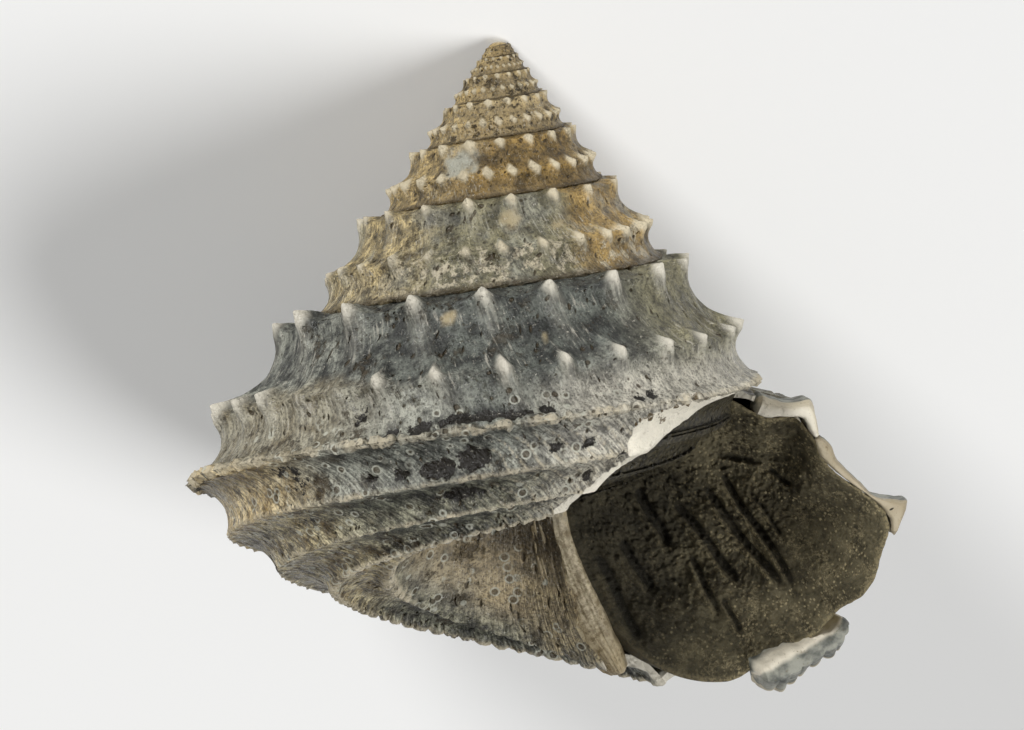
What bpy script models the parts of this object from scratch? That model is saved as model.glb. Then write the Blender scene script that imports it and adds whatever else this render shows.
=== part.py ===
"""Fossil top shell with hardened sediment in its mouth, as closed solids at real size.

The shell is drawn in its own coiling frame: the coiling axis is Z, the apex is at the origin and
the shell grows downwards from it. Growth is counted in turns: 0 is the outer lip and -1 is one turn
earlier. Seen from the mouth, the lip is at +X and the viewer is at -Y. An empty then lays the whole
fossil on its back, with the mouth up.
"""

import math

import bmesh
import bpy
from mathutils import Matrix, Vector

MM = 0.001
COLLECTION = "top_shell"
CUTTERS = "top_shell_cutters"

# Growth with the turns
APEX_TURN = -7.06          # where the first whorl starts
RADIAL_RATE = 0.455        # growth rate of every radius, per turn
RADIAL_FLARE = 0.0875      # extra radial growth, mostly of the last whorl
RADIAL_FLARE_RATE = 1.6
DROP_RATE = 0.422          # growth rate of every drop below the growth centre, per turn
DROP_FLARE = 0.06
DROP_FLARE_RATE = 4.0
GROWTH_CENTRE = 0.494      # mm from the worn apex up to the centre that the drops grow from

# Outer profile of a whorl at the outer lip: (name, radius, drop below the growth centre) in mm.
# It runs from inside the whorl before, out over two spine rows to the keel, round the ribbed base,
# up the wall of the funnel and back inside.
PROFILE = (
    ("buried_top", 4.94, 8.55),
    ("seam", 5.93, 9.33),
    ("crack", 6.10, 9.38),
    ("spine_upper", 7.24, 9.62),
    ("under_upper", 7.50, 10.20),
    ("flank_high", 7.98, 10.88),
    ("flank_low", 8.50, 11.52),
    ("spine_outer", 9.17, 12.06),
    ("band_high", 9.45, 12.66),
    ("band_low", 9.48, 13.35),
    ("keel_top", 9.92, 13.88),
    ("keel", 10.42, 14.36),
    ("keel_under", 9.60, 14.94),
    ("groove_1", 8.96, 15.40),
    ("rib_1", 9.20, 16.10),
    ("groove_2", 8.10, 16.66),
    ("rib_2", 7.64, 17.26),
    ("groove_3", 6.76, 17.28),
    ("rib_3", 5.92, 17.90),
    ("groove_4", 5.06, 17.52),
    ("rib_4", 4.15, 17.60),
    ("funnel_low", 2.95, 15.60),
    ("funnel_high", 2.02, 13.40),
    ("funnel_top", 2.10, 11.40),
    ("buried_bottom", 3.09, 9.60),
)

# Growth turn at which the broken edge of the shell crosses some of the profile rows
BROKEN_EDGE = (
    ("buried_top", 0.0),
    ("seam", 0.0),
    ("crack", -0.033),
    ("spine_outer", -0.033),
    ("keel", -0.085),
    ("groove_1", -0.115),
    ("rib_2", -0.115),
    ("groove_3", -0.125),
    ("rib_3", -0.135),
    ("rib_4", -0.150),
    ("buried_bottom", -0.150),
)

# The funnel is open along the last whorl and closes behind it
FUNNEL_ROWS = ("groove_4", "rib_4", "funnel_low", "funnel_high", "funnel_top")
FUNNEL_OPEN_TURN = -1.15
FUNNEL_CLOSED_TURN = -1.50
AXIS_HOLE = 0.10           # mm, left round the axis for the column to fill
COLUMN_TOP = 0.30          # mm below the apex
COLUMN_BOTTOM = 9.00
COLUMN_TOP_RADIUS = 0.10
COLUMN_BOTTOM_RADIUS = 0.60

# Spine rows: spines per turn, the turn of one spine, how far a tip stands out and up, in mm at the lip
SPINES = {
    "spine_upper": (18.0, -0.7839, 0.34, 0.16),
    "spine_outer": (25.5, -0.7863, 0.56, 0.10),
    "keel": (18.0, -0.7500, 0.14, 0.00),
}
SPINE_FOOT = 0.34          # half width of a spine's foot, as a share of the spine spacing

# Samples per turn along a plain row
SPINES_START = -6.4        # the first whorls are worn smooth
FINE_SAMPLES = 26
WORN_SAMPLES = 18
BURIED_SAMPLES = 10
BASE_ROWS_START = -1.30    # the base of the whorls before this turn is buried

# Inner wall of the last whorl at the lip, from the seam out, round, and up the columella, in mm
CAVITY = (
    ("roof_in", 6.02, 9.80),
    ("roof_mid", 6.40, 9.98),
    ("roof_out", 7.06, 10.02),
    ("flank_1", 7.38, 10.55),
    ("flank_2", 7.62, 11.05),
    ("flank_3", 8.10, 11.52),
    ("flank_4", 8.58, 11.90),
    ("flank_5", 9.06, 12.32),
    ("side_high", 9.16, 12.80),
    ("side_mid", 9.10, 13.40),
    ("side_low", 9.08, 14.00),
    ("side_turn", 8.72, 14.50),
    ("base_1", 8.27, 15.01),
    ("base_2", 7.77, 15.61),
    ("base_3", 7.22, 16.19),
    ("base_4", 6.60, 16.63),
    ("base_5", 5.77, 17.10),
    ("columella_foot", 5.05, 17.25),
    ("columella_1", 4.10, 16.15),
    ("columella_2", 3.19, 15.06),
    ("columella_3", 2.55, 13.98),
    ("columella_4", 2.36, 13.00),
)
# The cavity's inner side follows these rows of the whorl before, under a thin glaze
PARIETAL_ROWS = ("rib_4", "rib_3", "rib_2", "rib_1")
GLAZE = 0.14               # mm of glaze over the whorl before
FIT_GAP = 0.03             # mm left free between neighbouring pieces

# Growth turn of the rock's broken face along the cavity's outline
ROCK_FACE = (
    ("roof_in", -0.012),
    ("roof_out", -0.010),
    ("flank_1", -0.004),
    ("side_turn", 0.0),
    ("base_1", -0.020),
    ("base_3", -0.050),
    ("base_5", -0.065),
    ("columella_foot", -0.110),
    ("columella_1", -0.150),
    ("columella_4", -0.158),
)
ROCK_PARIETAL_FACE = (-0.155, -0.085, -0.040, -0.018)
ROCK_DEPTH_TURN = -0.235   # how far the rock is modelled into the whorl
ROCK_STEPS = 5
FACE_RINGS = (0.80, 0.58, 0.34)
GOUGE_DEPTH = 0.22         # mm
GOUGE_SPACING = 1.35       # mm between the slanting gouges
CUTTER_FRONT = 0.07        # turns that the cutter runs on past the rock's face
CUTTER_BACK = 0.003        # and past its buried end

# Broken pieces of lip: outer points and inner points (radius, drop) in mm, and first and last turn
UPPER_FRAGMENT = (
    ((6.17, 9.33), (6.60, 9.42), (7.10, 9.58), (7.52, 9.62), (7.40, 9.95), (7.60, 10.38)),
    ((6.08, 9.76), (6.42, 9.90), (6.85, 9.91), (7.22, 9.92), (7.34, 10.10), (7.47, 10.40)),
    (-0.030, 0.0),
)
OUTER_FRAGMENT = (
    ((7.66, 10.45), (7.98, 11.02), (8.55, 11.68), (9.10, 12.03), (9.70, 12.14), (9.46, 12.92)),
    ((7.50, 10.50), (7.71, 11.00), (8.16, 11.46), (8.64, 11.84), (9.14, 12.27), (9.30, 12.82)),
    (-0.030, 0.0),
)
BASE_FRAGMENT = (
    ((8.77, 15.50), (8.62, 16.10), (8.02, 16.40), (7.52, 16.86), (6.92, 17.24), (6.30, 17.16)),
    ((8.48, 15.36), (8.08, 15.72), (7.64, 16.04), (7.14, 16.42), (6.66, 16.74), (6.24, 16.98)),
    (-0.088, -0.036),
)
FRAGMENT_STEPS = 4
FRAGMENT_WEDGE = 0.004     # turns that the broken ends run out of square

# Resting pose: the fossil is turned about its coiling axis, then laid on its back, apex down
ROLL = -2.97               # degrees about the coiling axis
APEX_DIP = 39.45           # degrees that the coiling axis dips from level
REST_SHIFT = (-0.88, 7.69, 0.08)    # mm, to centre the fossil over the origin
SLAB_SIZE = (20.0, 20.0, 1.0)   # mm, the slab under z = 0 that wears the resting tips flat


def radial_growth(turn):
    flare = RADIAL_FLARE * (1.0 - math.exp(RADIAL_FLARE_RATE * turn))
    return math.exp(RADIAL_RATE * turn - flare)


def drop_growth(turn):
    flare = DROP_FLARE * (1.0 - math.exp(DROP_FLARE_RATE * turn))
    return math.exp(DROP_RATE * turn - flare)


def smooth_step(value, low, high):
    share = min(1.0, max(0.0, (value - low) / (high - low)))
    return share * share * (3.0 - 2.0 * share)


def grown_section(radius, drop, turn):
    """A lip point's (radius, depth below the apex) in mm at an earlier turn."""
    return radius * radial_growth(turn), drop * drop_growth(turn) - GROWTH_CENTRE


def place(radius, depth, turn):
    """A section point in space, in metres. The shell coils right-handed."""
    angle = -2.0 * math.pi * turn
    return Vector((radius * math.cos(angle), radius * math.sin(angle), -depth)) * MM


def interpolate(stations, name, names):
    """A value along the profile, linear between the named stations."""
    index = names.index(name)
    places = [(names.index(station), value) for station, value in stations]
    for (low, first), (high, last) in zip(places, places[1:]):
        if low <= index <= high:
            return first + (last - first) * (index - low) / (high - low)
    return places[-1][1]


def shell_point(name, radius, drop, turn, stand_out=0.0, stand_up=0.0):
    radius_here, depth = grown_section(radius + stand_out, drop - stand_up, turn)
    if name in FUNNEL_ROWS:
        closed = smooth_step(-turn, -FUNNEL_OPEN_TURN, -FUNNEL_CLOSED_TURN)
        hole = AXIS_HOLE * radial_growth(turn + 1.0) + 0.2 * AXIS_HOLE
        radius_here += (hole - radius_here) * closed
    return place(radius_here, depth, turn)


def plain_turns(name, end):
    """Evenly spaced turns along a row, coarse where the row is buried."""
    buried_row = name.startswith("buried")
    base_row = ROW_NAMES.index(name) > ROW_NAMES.index("keel_under")
    turns = [end]
    while turns[-1] > APEX_TURN:
        buried = buried_row or (base_row and turns[-1] < BASE_ROWS_START)
        turns.append(turns[-1] - 1.0 / (BURIED_SAMPLES if buried else FINE_SAMPLES))
    turns[-1] = APEX_TURN
    return [(turn, False) for turn in reversed(turns)]


def spine_turns(name, end):
    """A tip between two feet for every spine on the row."""
    count, phase, _, _ = SPINES[name]
    spacing = 1.0 / count
    foot = SPINE_FOOT * spacing
    turns = [(end, False)]
    tip = phase + math.floor((end - foot - phase) / spacing) * spacing
    while tip - foot > SPINES_START:
        turns += [(tip + foot, False), (tip, True), (tip - foot, False)]
        tip -= spacing
    while turns[-1][0] > APEX_TURN:
        turns.append((turns[-1][0] - 1.0 / WORN_SAMPLES, False))
    turns[-1] = (APEX_TURN, False)
    return sorted(turns)


def stitch(mesh, first, second):
    """Triangles between two rows of (turn, vertex) that have different spacings."""
    i = j = 0
    while i < len(first) - 1 or j < len(second) - 1:
        end_of_second = j == len(second) - 1
        step_first = end_of_second or (i < len(first) - 1 and first[i + 1][0] <= second[j + 1][0])
        if step_first:
            mesh.faces.new((first[i][1], first[i + 1][1], second[j][1]))
            i += 1
        else:
            mesh.faces.new((first[i][1], second[j + 1][1], second[j][1]))
            j += 1


def fan(mesh, ring):
    centre = mesh.verts.new(sum((vert.co for vert in ring), Vector()) / len(ring))
    for here, there in zip(ring, ring[1:] + ring[:1]):
        mesh.faces.new((here, there, centre))


def finished_object(name, mesh, collection, material=None):
    """A bmesh as an object, with its faces turned outwards."""
    bmesh.ops.recalc_face_normals(mesh, faces=mesh.faces)
    data = bpy.data.meshes.new(name)
    mesh.to_mesh(data)
    mesh.free()
    data.shade_smooth()
    data.set_sharp_from_angle(angle=math.radians(40.0))
    thing = bpy.data.objects.new(name, data)
    collection.objects.link(thing)
    if material:
        data.materials.append(material)
    return thing


def coloured(name, colour, roughness):
    material = bpy.data.materials.new(name)
    material.use_nodes = True
    shader = material.node_tree.nodes["Principled BSDF"]
    shader.inputs["Base Color"].default_value = (*colour, 1.0)
    shader.inputs["Roughness"].default_value = roughness
    shader.inputs["Metallic"].default_value = 0.0
    return material


def shell_tube(collection, material):
    """The whole coiled whorl tube, overlapping itself where a whorl covers the one before."""
    mesh = bmesh.new()
    rows = []
    for name, radius, drop in PROFILE:
        end = interpolate(BROKEN_EDGE, name, ROW_NAMES)
        turns = spine_turns(name, end) if name in SPINES else plain_turns(name, end)
        row = []
        for turn, is_tip in turns:
            out, up = SPINES[name][2:] if is_tip else (0.0, 0.0)
            row.append((turn, mesh.verts.new(shell_point(name, radius, drop, turn, out, up))))
        rows.append(row)
    for first, second in zip(rows, rows[1:] + rows[:1]):
        stitch(mesh, first, second)
    fan(mesh, [row[0][1] for row in rows])
    fan(mesh, [row[-1][1] for row in rows])
    return finished_object("shell", mesh, collection, material)


def column_filler(collection):
    """A slim cone on the coiling axis that fills the hole between the first whorls."""
    mesh = bmesh.new()
    depth = (COLUMN_BOTTOM - COLUMN_TOP) * MM
    middle = Matrix.Translation((0.0, 0.0, -0.5 * (COLUMN_TOP + COLUMN_BOTTOM) * MM))
    bmesh.ops.create_cone(
        mesh, cap_ends=True, segments=12, radius1=COLUMN_BOTTOM_RADIUS * MM,
        radius2=COLUMN_TOP_RADIUS * MM, depth=depth, matrix=middle)
    return finished_object("column_filler", mesh, collection)


def offset_outline(points, distance):
    """A closed outline of (radius, depth) moved outwards by a distance."""
    area = sum(a[0] * b[1] - b[0] * a[1] for a, b in zip(points, points[1:] + points[:1]))
    side = 1.0 if area > 0 else -1.0
    moved = []
    for before, here, after in zip(points[-1:] + points[:-1], points, points[1:] + points[:1]):
        along = Vector((after[0] - before[0], after[1] - before[1])).normalized()
        moved.append((here[0] + side * along.y * distance, here[1] - side * along.x * distance))
    return moved


def cavity_section(turns, distance):
    """The cavity's outline in space, moved outwards by a distance. Each point has its own turn."""
    points = [grown_section(radius, drop, turn) for (_, radius, drop), turn in zip(CAVITY, turns)]
    profile = {name: (radius, drop) for name, radius, drop in PROFILE}
    for name, turn in zip(PARIETAL_ROWS, turns[len(CAVITY):]):
        radius, depth = grown_section(*profile[name], turn - 1.0)
        points.append((radius + 0.5 * GLAZE, depth + GLAZE))
    moved = offset_outline(points, distance)
    return [place(radius, depth, turn) for (radius, depth), turn in zip(moved, turns)]


def rock_turns():
    """The turns of the cavity's outline points, from the broken face back into the whorl."""
    names = [name for name, _, _ in CAVITY]
    face = [interpolate(ROCK_FACE, name, names) for name in names] + list(ROCK_PARIETAL_FACE)
    layers = []
    for step in range(ROCK_STEPS + 1):
        share = step / ROCK_STEPS
        layers.append([turn + (ROCK_DEPTH_TURN - turn) * share for turn in face])
    return layers


def loft(mesh, sections):
    """Quads between outlines of equal length. Returns the rings of vertices."""
    rings = [[mesh.verts.new(point) for point in section] for section in sections]
    for ring, following in zip(rings, rings[1:]):
        for k in range(len(ring)):
            n = (k + 1) % len(ring)
            mesh.faces.new((ring[k], ring[n], following[n], following[k]))
    return rings


def gouge(point):
    """How deep the broken face is gouged at a point: slanting grooves that die out at the rim."""
    across = (point.x * 0.78 + point.z * 0.62) / MM
    along = (point.x * 0.62 - point.z * 0.78) / MM
    wave = math.sin(2.0 * math.pi * across / GOUGE_SPACING + 0.7 * math.sin(along))
    return GOUGE_DEPTH * MM * (0.5 - 0.5 * wave)


def rock(collection, material):
    mesh = bmesh.new()
    sections = [cavity_section(turns, 0.0) for turns in rock_turns()]
    rings = loft(mesh, sections)
    fan(mesh, rings[-1])
    rim = sections[0]
    centre = sum(rim, Vector()) / len(rim)
    inner = []
    for share in FACE_RINGS:
        ring = [centre.lerp(point, share) for point in rim]
        inner.append([point + Vector((0.0, gouge(point), 0.0)) for point in ring])
    face_rings = [rings[0]] + [[mesh.verts.new(point) for point in ring] for ring in inner]
    for ring, following in zip(face_rings, face_rings[1:]):
        for k in range(len(ring)):
            n = (k + 1) % len(ring)
            mesh.faces.new((ring[k], ring[n], following[n], following[k]))
    fan(mesh, face_rings[-1])
    bmesh.ops.triangulate(mesh, faces=mesh.faces)
    return finished_object("matrix_fill", mesh, collection, material)


def rest_slab(collection):
    mesh = bmesh.new()
    middle = Matrix.Translation((0.0, 0.0, -0.5 * SLAB_SIZE[2] * MM))
    bmesh.ops.create_cube(mesh, size=MM, matrix=middle @ Matrix.Diagonal((*SLAB_SIZE, 1.0)))
    return finished_object("rest_slab", mesh, collection)


def mouth_cutter(collection):
    """The rock's form with the fitting gap, run out past the lip, to hollow the mouth."""
    layers = rock_turns()
    layers.insert(0, [turn + CUTTER_FRONT for turn in layers[0]])
    layers.append([turn - CUTTER_BACK for turn in layers[-1]])
    mesh = bmesh.new()
    rings = loft(mesh, [cavity_section(turns, FIT_GAP) for turns in layers])
    fan(mesh, rings[0])
    fan(mesh, rings[-1])
    bmesh.ops.triangulate(mesh, faces=mesh.faces)
    return finished_object("mouth_cutter", mesh, collection)


def lip_fragment(name, recipe, collection, material):
    """A curved chip of lip: an outline swept a little way along the growth spiral."""
    outer, inner, (first, last) = recipe
    outline = list(outer) + list(reversed(inner))
    mesh = bmesh.new()
    sections = []
    for step in range(FRAGMENT_STEPS + 1):
        share = step / FRAGMENT_STEPS
        section = []
        for k, (radius, drop) in enumerate(outline):
            ragged = FRAGMENT_WEDGE * (k % 2) * (1.0 if step == 0 else -share)
            turn = first + (last - first) * share + ragged
            section.append(place(*grown_section(radius, drop, turn), turn))
        sections.append(section)
    rings = loft(mesh, sections)
    mesh.faces.new(rings[0])
    mesh.faces.new(rings[-1])
    bmesh.ops.triangulate(mesh, faces=mesh.faces)
    return finished_object(name, mesh, collection, material)


def boolean(target, tool, operation, merge_self=False):
    modifier = target.modifiers.new(operation.title(), "BOOLEAN")
    modifier.operation = operation
    modifier.solver = "EXACT"
    modifier.use_self = merge_self
    modifier.object = tool
    tool.hide_render = True
    tool.display_type = "WIRE"


def new_collection(name):
    collection = bpy.data.collections.new(name)
    bpy.context.scene.collection.children.link(collection)
    return collection


def build():
    for thing in list(bpy.data.objects):
        bpy.data.objects.remove(thing)
    parts = new_collection(COLLECTION)
    cutters = new_collection(CUTTERS)

    shell = shell_tube(parts, coloured("weathered_shell", (0.42, 0.40, 0.34), 0.5))
    boolean(shell, column_filler(cutters), "UNION", merge_self=True)
    boolean(shell, mouth_cutter(cutters), "DIFFERENCE")
    coiled = [shell] + list(cutters.objects)
    boolean(shell, rest_slab(cutters), "DIFFERENCE")

    pale = coloured("chalky_lip", (0.72, 0.68, 0.60), 0.6)
    coiled += [
        rock(parts, coloured("dark_sediment", (0.09, 0.08, 0.06), 0.85)),
        lip_fragment("upper_lip_fragment", UPPER_FRAGMENT, parts, pale),
        lip_fragment("outer_lip_fragment", OUTER_FRAGMENT, parts, pale.copy()),
        lip_fragment("base_lip_fragment", BASE_FRAGMENT, parts, pale.copy()),
    ]

    pose = bpy.data.objects.new("rest_pose", None)
    parts.objects.link(pose)
    lay = Matrix.Rotation(math.radians(-90.0 - APEX_DIP), 4, "X")
    roll = Matrix.Rotation(math.radians(ROLL), 4, "Z")
    pose.matrix_world = Matrix.Translation(Vector(REST_SHIFT) * MM) @ lay @ roll
    for thing in coiled:
        thing.parent = pose


ROW_NAMES = [row[0] for row in PROFILE]

build()
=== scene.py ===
"""Fossil top shell, laid on its back with its mouth up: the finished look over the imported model.

The shell is worked out in its own coiling frame, in millimetres. The coiling axis is Z, the worn apex
is at the origin and growth runs downwards in turns: 0 is the outer lip and -1 is one turn earlier.
Across a whorl, a place is counted in crests: 0 is the seam under the whorl before, 1 the upper spines,
2 the outer spines, 3 the keel, 4 to 7 the ribs of the base, and from 7 on the wall of the funnel.
"""

import math
from functools import cached_property
from types import SimpleNamespace

import bmesh
import bpy
import numpy as np
from mathutils import Matrix, Vector, noise


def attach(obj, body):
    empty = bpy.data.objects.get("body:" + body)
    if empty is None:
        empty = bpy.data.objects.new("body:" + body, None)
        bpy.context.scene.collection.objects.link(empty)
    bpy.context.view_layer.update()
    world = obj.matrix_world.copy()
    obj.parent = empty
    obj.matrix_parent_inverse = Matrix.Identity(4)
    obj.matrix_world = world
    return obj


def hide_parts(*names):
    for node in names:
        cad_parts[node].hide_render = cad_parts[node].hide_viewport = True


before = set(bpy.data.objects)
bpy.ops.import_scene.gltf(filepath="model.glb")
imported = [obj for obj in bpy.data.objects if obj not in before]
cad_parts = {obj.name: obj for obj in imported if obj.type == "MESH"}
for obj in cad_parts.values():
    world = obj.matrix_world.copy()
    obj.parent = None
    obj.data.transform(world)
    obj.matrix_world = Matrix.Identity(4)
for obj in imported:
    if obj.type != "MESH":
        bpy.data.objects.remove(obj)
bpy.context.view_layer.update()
MM = 0.001
LINING_LOWEST = 0.03 * MM
SMOOTH_UP_TO = math.radians(50.0)
EDGED_UP_TO = 7.1

bl_info = {
    "name": "Fossil Top Shell",
    "version": (1, 0, 0),
    "blender": (4, 5, 0),
    "location": "View3D > Sidebar > Top Shell",
    "description": "Builds a fossil top shell with hardened sediment in its mouth",
    "category": "Add Mesh",
}

# Crests of the whorl at the outer lip, as (radius, drop below the growth centre) in mm
CRESTS = (
    (5.93, 9.33), (7.26, 9.66), (9.2, 12.34), (10.38, 14.34), (9.26, 16.04), (7.66, 17.2), (5.9, 17.84),
    (4.15, 17.55), (2.95, 15.6), (2.02, 13.4), (2.06, 11.2), (3.09, 9.6),
)
# The hollow between each crest and the next pulls the wall inwards
HOLLOWS = (
    (6.6, 9.42), (7.62, 11.3), (9.14, 13.52), (9.05, 14.78), (8.1, 16.14), (6.6, 17.05), (5.1, 17.18),
    (3.3, 16.75), (2.42, 14.5), (1.84, 12.3), (2.3, 10.2),
)
SEAM, UPPER_ROW, OUTER_ROW, KEEL, RIB_1, RIB_2, RIB_3, RIB_4 = range(8)
FUNNEL_END = 11

# How far growth lines lag behind the upper spine row, in turns, at each crest
LINE_LAG = (-0.004, 0.0, 0.022, 0.036, 0.068, 0.098, 0.135, 0.15, 0.158, 0.16, 0.16, 0.16)

# The broken edge of the shell: (crest count, turn) from the seam to the funnel
BROKEN_EDGE = (
    (0.0, 0.0), (0.1, 0.0), (0.16, -0.034), (2.0, -0.034), (2.6, -0.06), (3.0, -0.085), (3.6, -0.112),
    (5.0, -0.116), (5.4, -0.124), (6.0, -0.136), (7.0, -0.15), (7.3, -0.166), (11.0, -0.172),
)

# Spines that are not evenly spaced, as turns; gaps between them are filled at the usual spacing
UPPER_SPINES = (
    -1.9606, -1.8745, -1.8155, -1.7588, -1.7049, -1.6482, -1.5876, -0.9543, -0.8961, -0.841, -0.7839, -0.7315,
    -0.6767, -0.6204, -0.5664,
)
OUTER_SPINES = (
    -1.9443, -1.8997, -1.8688, -1.8313, -1.7898, -1.7477, -1.7108, -1.672, -1.6328, -1.5894, -1.5532, -0.9514,
    -0.9004, -0.8635, -0.8247, -0.7863, -0.747, -0.7049, -0.6683, -0.6081, -0.5494,
)
APEX_TURN = -7.06

# Inner outline of the mouth at the lip, from the seam out, round the base and up the columella, in mm
MOUTH = (
    (6.02, 9.8), (6.4, 9.98), (7.08, 10.0), (7.5, 10.46), (7.72, 10.98), (8.16, 11.45), (8.66, 11.84),
    (9.16, 12.28), (9.28, 12.74), (9.02, 13.4), (8.86, 13.98), (8.52, 14.38), (8.14, 14.88), (7.77, 15.61),
    (7.22, 16.19), (6.6, 16.63), (5.77, 17.1), (5.05, 17.25), (4.1, 16.15), (3.19, 15.06), (2.55, 13.98),
    (2.36, 13.0),
)
# Turn of the sediment's broken face at each of those places
FACE_TURNS = (
    -0.012, -0.011, -0.01, -0.004, -0.004, -0.003, -0.003, -0.002, -0.002, -0.001, -0.001, 0.0, -0.02, -0.035,
    -0.05, -0.058, -0.065, -0.11, -0.15, -0.153, -0.155, -0.158,
)
# The rest of the outline runs inside these crests of the whorl before, at this depth in mm
GLAZED_CRESTS = ((RIB_4, -0.155), (RIB_3, -0.085), (RIB_2, -0.04), (RIB_1, -0.018))
TUCK = 0.62
DRAWN_IN = 0.3

# White glaze spread over the whorl before, as (place, turn at its mouth side, turn at its far side)
GLAZE_BAND = (
    (3.0, -0.893, -0.871), (3.2, -0.896, -0.85), (3.3, -0.894, -0.843), (3.55, -0.884, -0.834),
    (3.7, -0.872, -0.832), (3.85, -0.858, -0.83), (4.0, -0.847, -0.829), (4.15, -0.845, -0.837),
    (4.45, -0.843, -0.833), (4.75, -0.829, -0.819), (5.0, -0.818, -0.806), (5.65, -0.814, -0.8),
    (5.9, -0.806, -0.79), (6.6, -0.801, -0.788),
)

# Places where the shell is eaten away: turn, place, half its length in turns, half its width, depth in mm
SCARS = (
    (-0.6805, 2.83, 0.005, 0.09, 0.18), (-0.698, 2.8, 0.007, 0.12, 0.22), (-0.719, 2.74, 0.012, 0.11, 0.22),
    (-0.736, 2.75, 0.009, 0.1, 0.21), (-0.753, 2.76, 0.01, 0.09, 0.21), (-0.772, 2.74, 0.0055, 0.08, 0.16),
    (-0.833, 2.8, 0.0045, 0.08, 0.16), (-0.843, 2.76, 0.0045, 0.08, 0.14), (-0.66, 3.74, 0.0045, 0.08, 0.15),
    (-0.68, 3.76, 0.0055, 0.1, 0.17), (-0.704, 3.77, 0.013, 0.15, 0.18), (-0.726, 3.7, 0.013, 0.2, 0.18),
    (-0.7785, 3.7, 0.0055, 0.08, 0.15), (-0.8015, 3.72, 0.0055, 0.08, 0.15), (-0.714, 4.6, 0.015, 0.14, 0.16),
    (-0.598, 3.34, 0.013, 0.16, 0.08), (-0.608, 3.62, 0.008, 0.2, 0.08), (-0.59, 4.5, 0.011, 0.12, 0.07),
    (-0.656, 2.42, 0.004, 0.2, 0.1), (-0.808, 4.7, 0.005, 0.16, 0.12), (-0.827, 4.15, 0.008, 0.22, 0.13),
)

# Pale round patches on the shell: turn, place, radius in mm
PATCHES = (
    (-0.7045, 1.19, 0.22), (-1.7565, 1.34, 0.28), (-0.7765, 1.62, 0.1), (-1.815, 1.6, 0.16),
    (-2.67, 1.55, 0.5),
)

# Gouges in the sediment: start and end as (across, down) in mm from the apex, then width and depth
GOUGES = (
    (5.18, 10.72, 6.92, 13.58, 0.11, 0.17), (4.7, 11.05, 6.6, 13.6, 0.13, 0.16),
    (3.98, 11.4, 5.6, 13.5, 0.14, 0.15), (3.06, 11.05, 3.88, 12.55, 0.16, 0.17),
    (5.1, 13.8, 5.56, 14.7, 0.1, 0.13), (6.32, 10.63, 6.9, 11.1, 0.09, 0.1),
    (4.95, 10.2, 6.1, 10.5, 0.1, 0.08), (4.3, 12.7, 5.1, 14.3, 0.12, 0.12),
    (2.6, 12.3, 3.4, 13.6, 0.16, 0.14), (5.8, 11.1, 6.7, 12.4, 0.07, 0.09),
    (2.0, 12.6, 3.1, 14.9, 0.18, 0.12),
)


def number(label, text, value, **settings):
    return bpy.props.FloatProperty(name=label, description=text, default=value, **settings)


def numbers(label, text, value, **settings):
    return bpy.props.FloatVectorProperty(name=label, description=text, default=value, **settings)


def tint(label, text, value):
    return numbers(label, text, value, subtype="COLOR")


class TopShellGrowth(bpy.types.PropertyGroup):
    """How the shell coils, and how it lies."""

    radial_rate: number("Radial growth", "Growth rate of every radius, per turn", 0.455)
    radial_flare: number("Radial flare", "Extra radial growth of the last whorl", 0.0875)
    radial_flare_rate: number("Radial flare rate", "How late the radial flare sets in", 1.6)
    drop_rate: number("Drop growth", "Growth rate of every drop down the axis, per turn", 0.422)
    drop_flare: number("Drop flare", "Extra drop of the last whorl", 0.06)
    drop_flare_rate: number("Drop flare rate", "How late the extra drop sets in", 4.0)
    growth_centre: number("Growth centre", "From the worn apex up to the growth centre, in mm", 0.494)
    roll: number("Roll", "Turn of the shell about its coiling axis", math.radians(-2.97), subtype="ANGLE",
                 unit="ROTATION")
    apex_dip: number("Apex dip", "How far the coiling axis dips from level", math.radians(39.45),
                     subtype="ANGLE", unit="ROTATION")
    rest_shift: numbers("Rest shift", "From the apex to its place over the origin",
                        (-0.88 * MM, 7.69 * MM, 0.08 * MM), precision=5, subtype="TRANSLATION", unit="LENGTH")


class TopShellOrnament(bpy.types.PropertyGroup):
    """Sizes of the relief at the lip, in millimetres."""

    upper_spine: number("Upper spines", "How far the upper spines stand out, in mm", 0.5)
    outer_spine: number("Outer spines", "How far the outer spines stand out, in mm", 0.58)
    spine_lift: number("Spine lift", "How far the spine tips turn up, in mm", 0.44)
    keel_frill: number("Keel frill", "Depth of the frill along the keel, in mm", 0.14)
    bead: number("Beads", "Height of the beads on the inner ribs, in mm", 0.11)
    riblet: number("Riblets", "Height of the fine riblets across the base, in mm", 0.035)
    wall: number("Wall", "Thickness of the shell wall at the lip, in mm", 0.32)
    wear: number("Wear", "Unevenness of the worn surface, in mm", 0.045)


class TopShellFinish(bpy.types.PropertyGroup):
    """Colours of the shell and of the sediment."""

    # Slate also paints the shade on the groove faces of the base
    slate: tint("Slate", "Dark weathered shell", (0.085, 0.092, 0.078))
    ash: tint("Ash", "Pale weathered shell", (0.3, 0.3, 0.25))
    cream: tint("Cream", "Clean old shell", (0.47, 0.38, 0.215))
    # Darkened honey also paints the shade deep in the funnel and between the crests of the early whorls
    honey: tint("Honey", "Glassy golden shell", (0.32, 0.205, 0.058))
    chalk: tint("Chalk", "Spine tips and broken edges", (0.64, 0.6, 0.5))
    olive: tint("Olive", "Greenish old shell", (0.165, 0.15, 0.088))
    # Umber also paints the shade in the seam and in the eaten holes
    umber: tint("Umber", "Dirt in pits and grooves", (0.046, 0.031, 0.012))
    tan: tint("Tan", "Funnel and columella", (0.4, 0.32, 0.19))
    # Darkened sediment also paints the shade on the sediment's left and in its gouges
    sediment: tint("Sediment", "Hardened sediment", (0.05, 0.043, 0.025))
    # Straw is also the painted highlight on the raised lips of the gouges
    straw: tint("Straw", "Pale grains in the sediment", (0.36, 0.3, 0.17))


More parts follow.
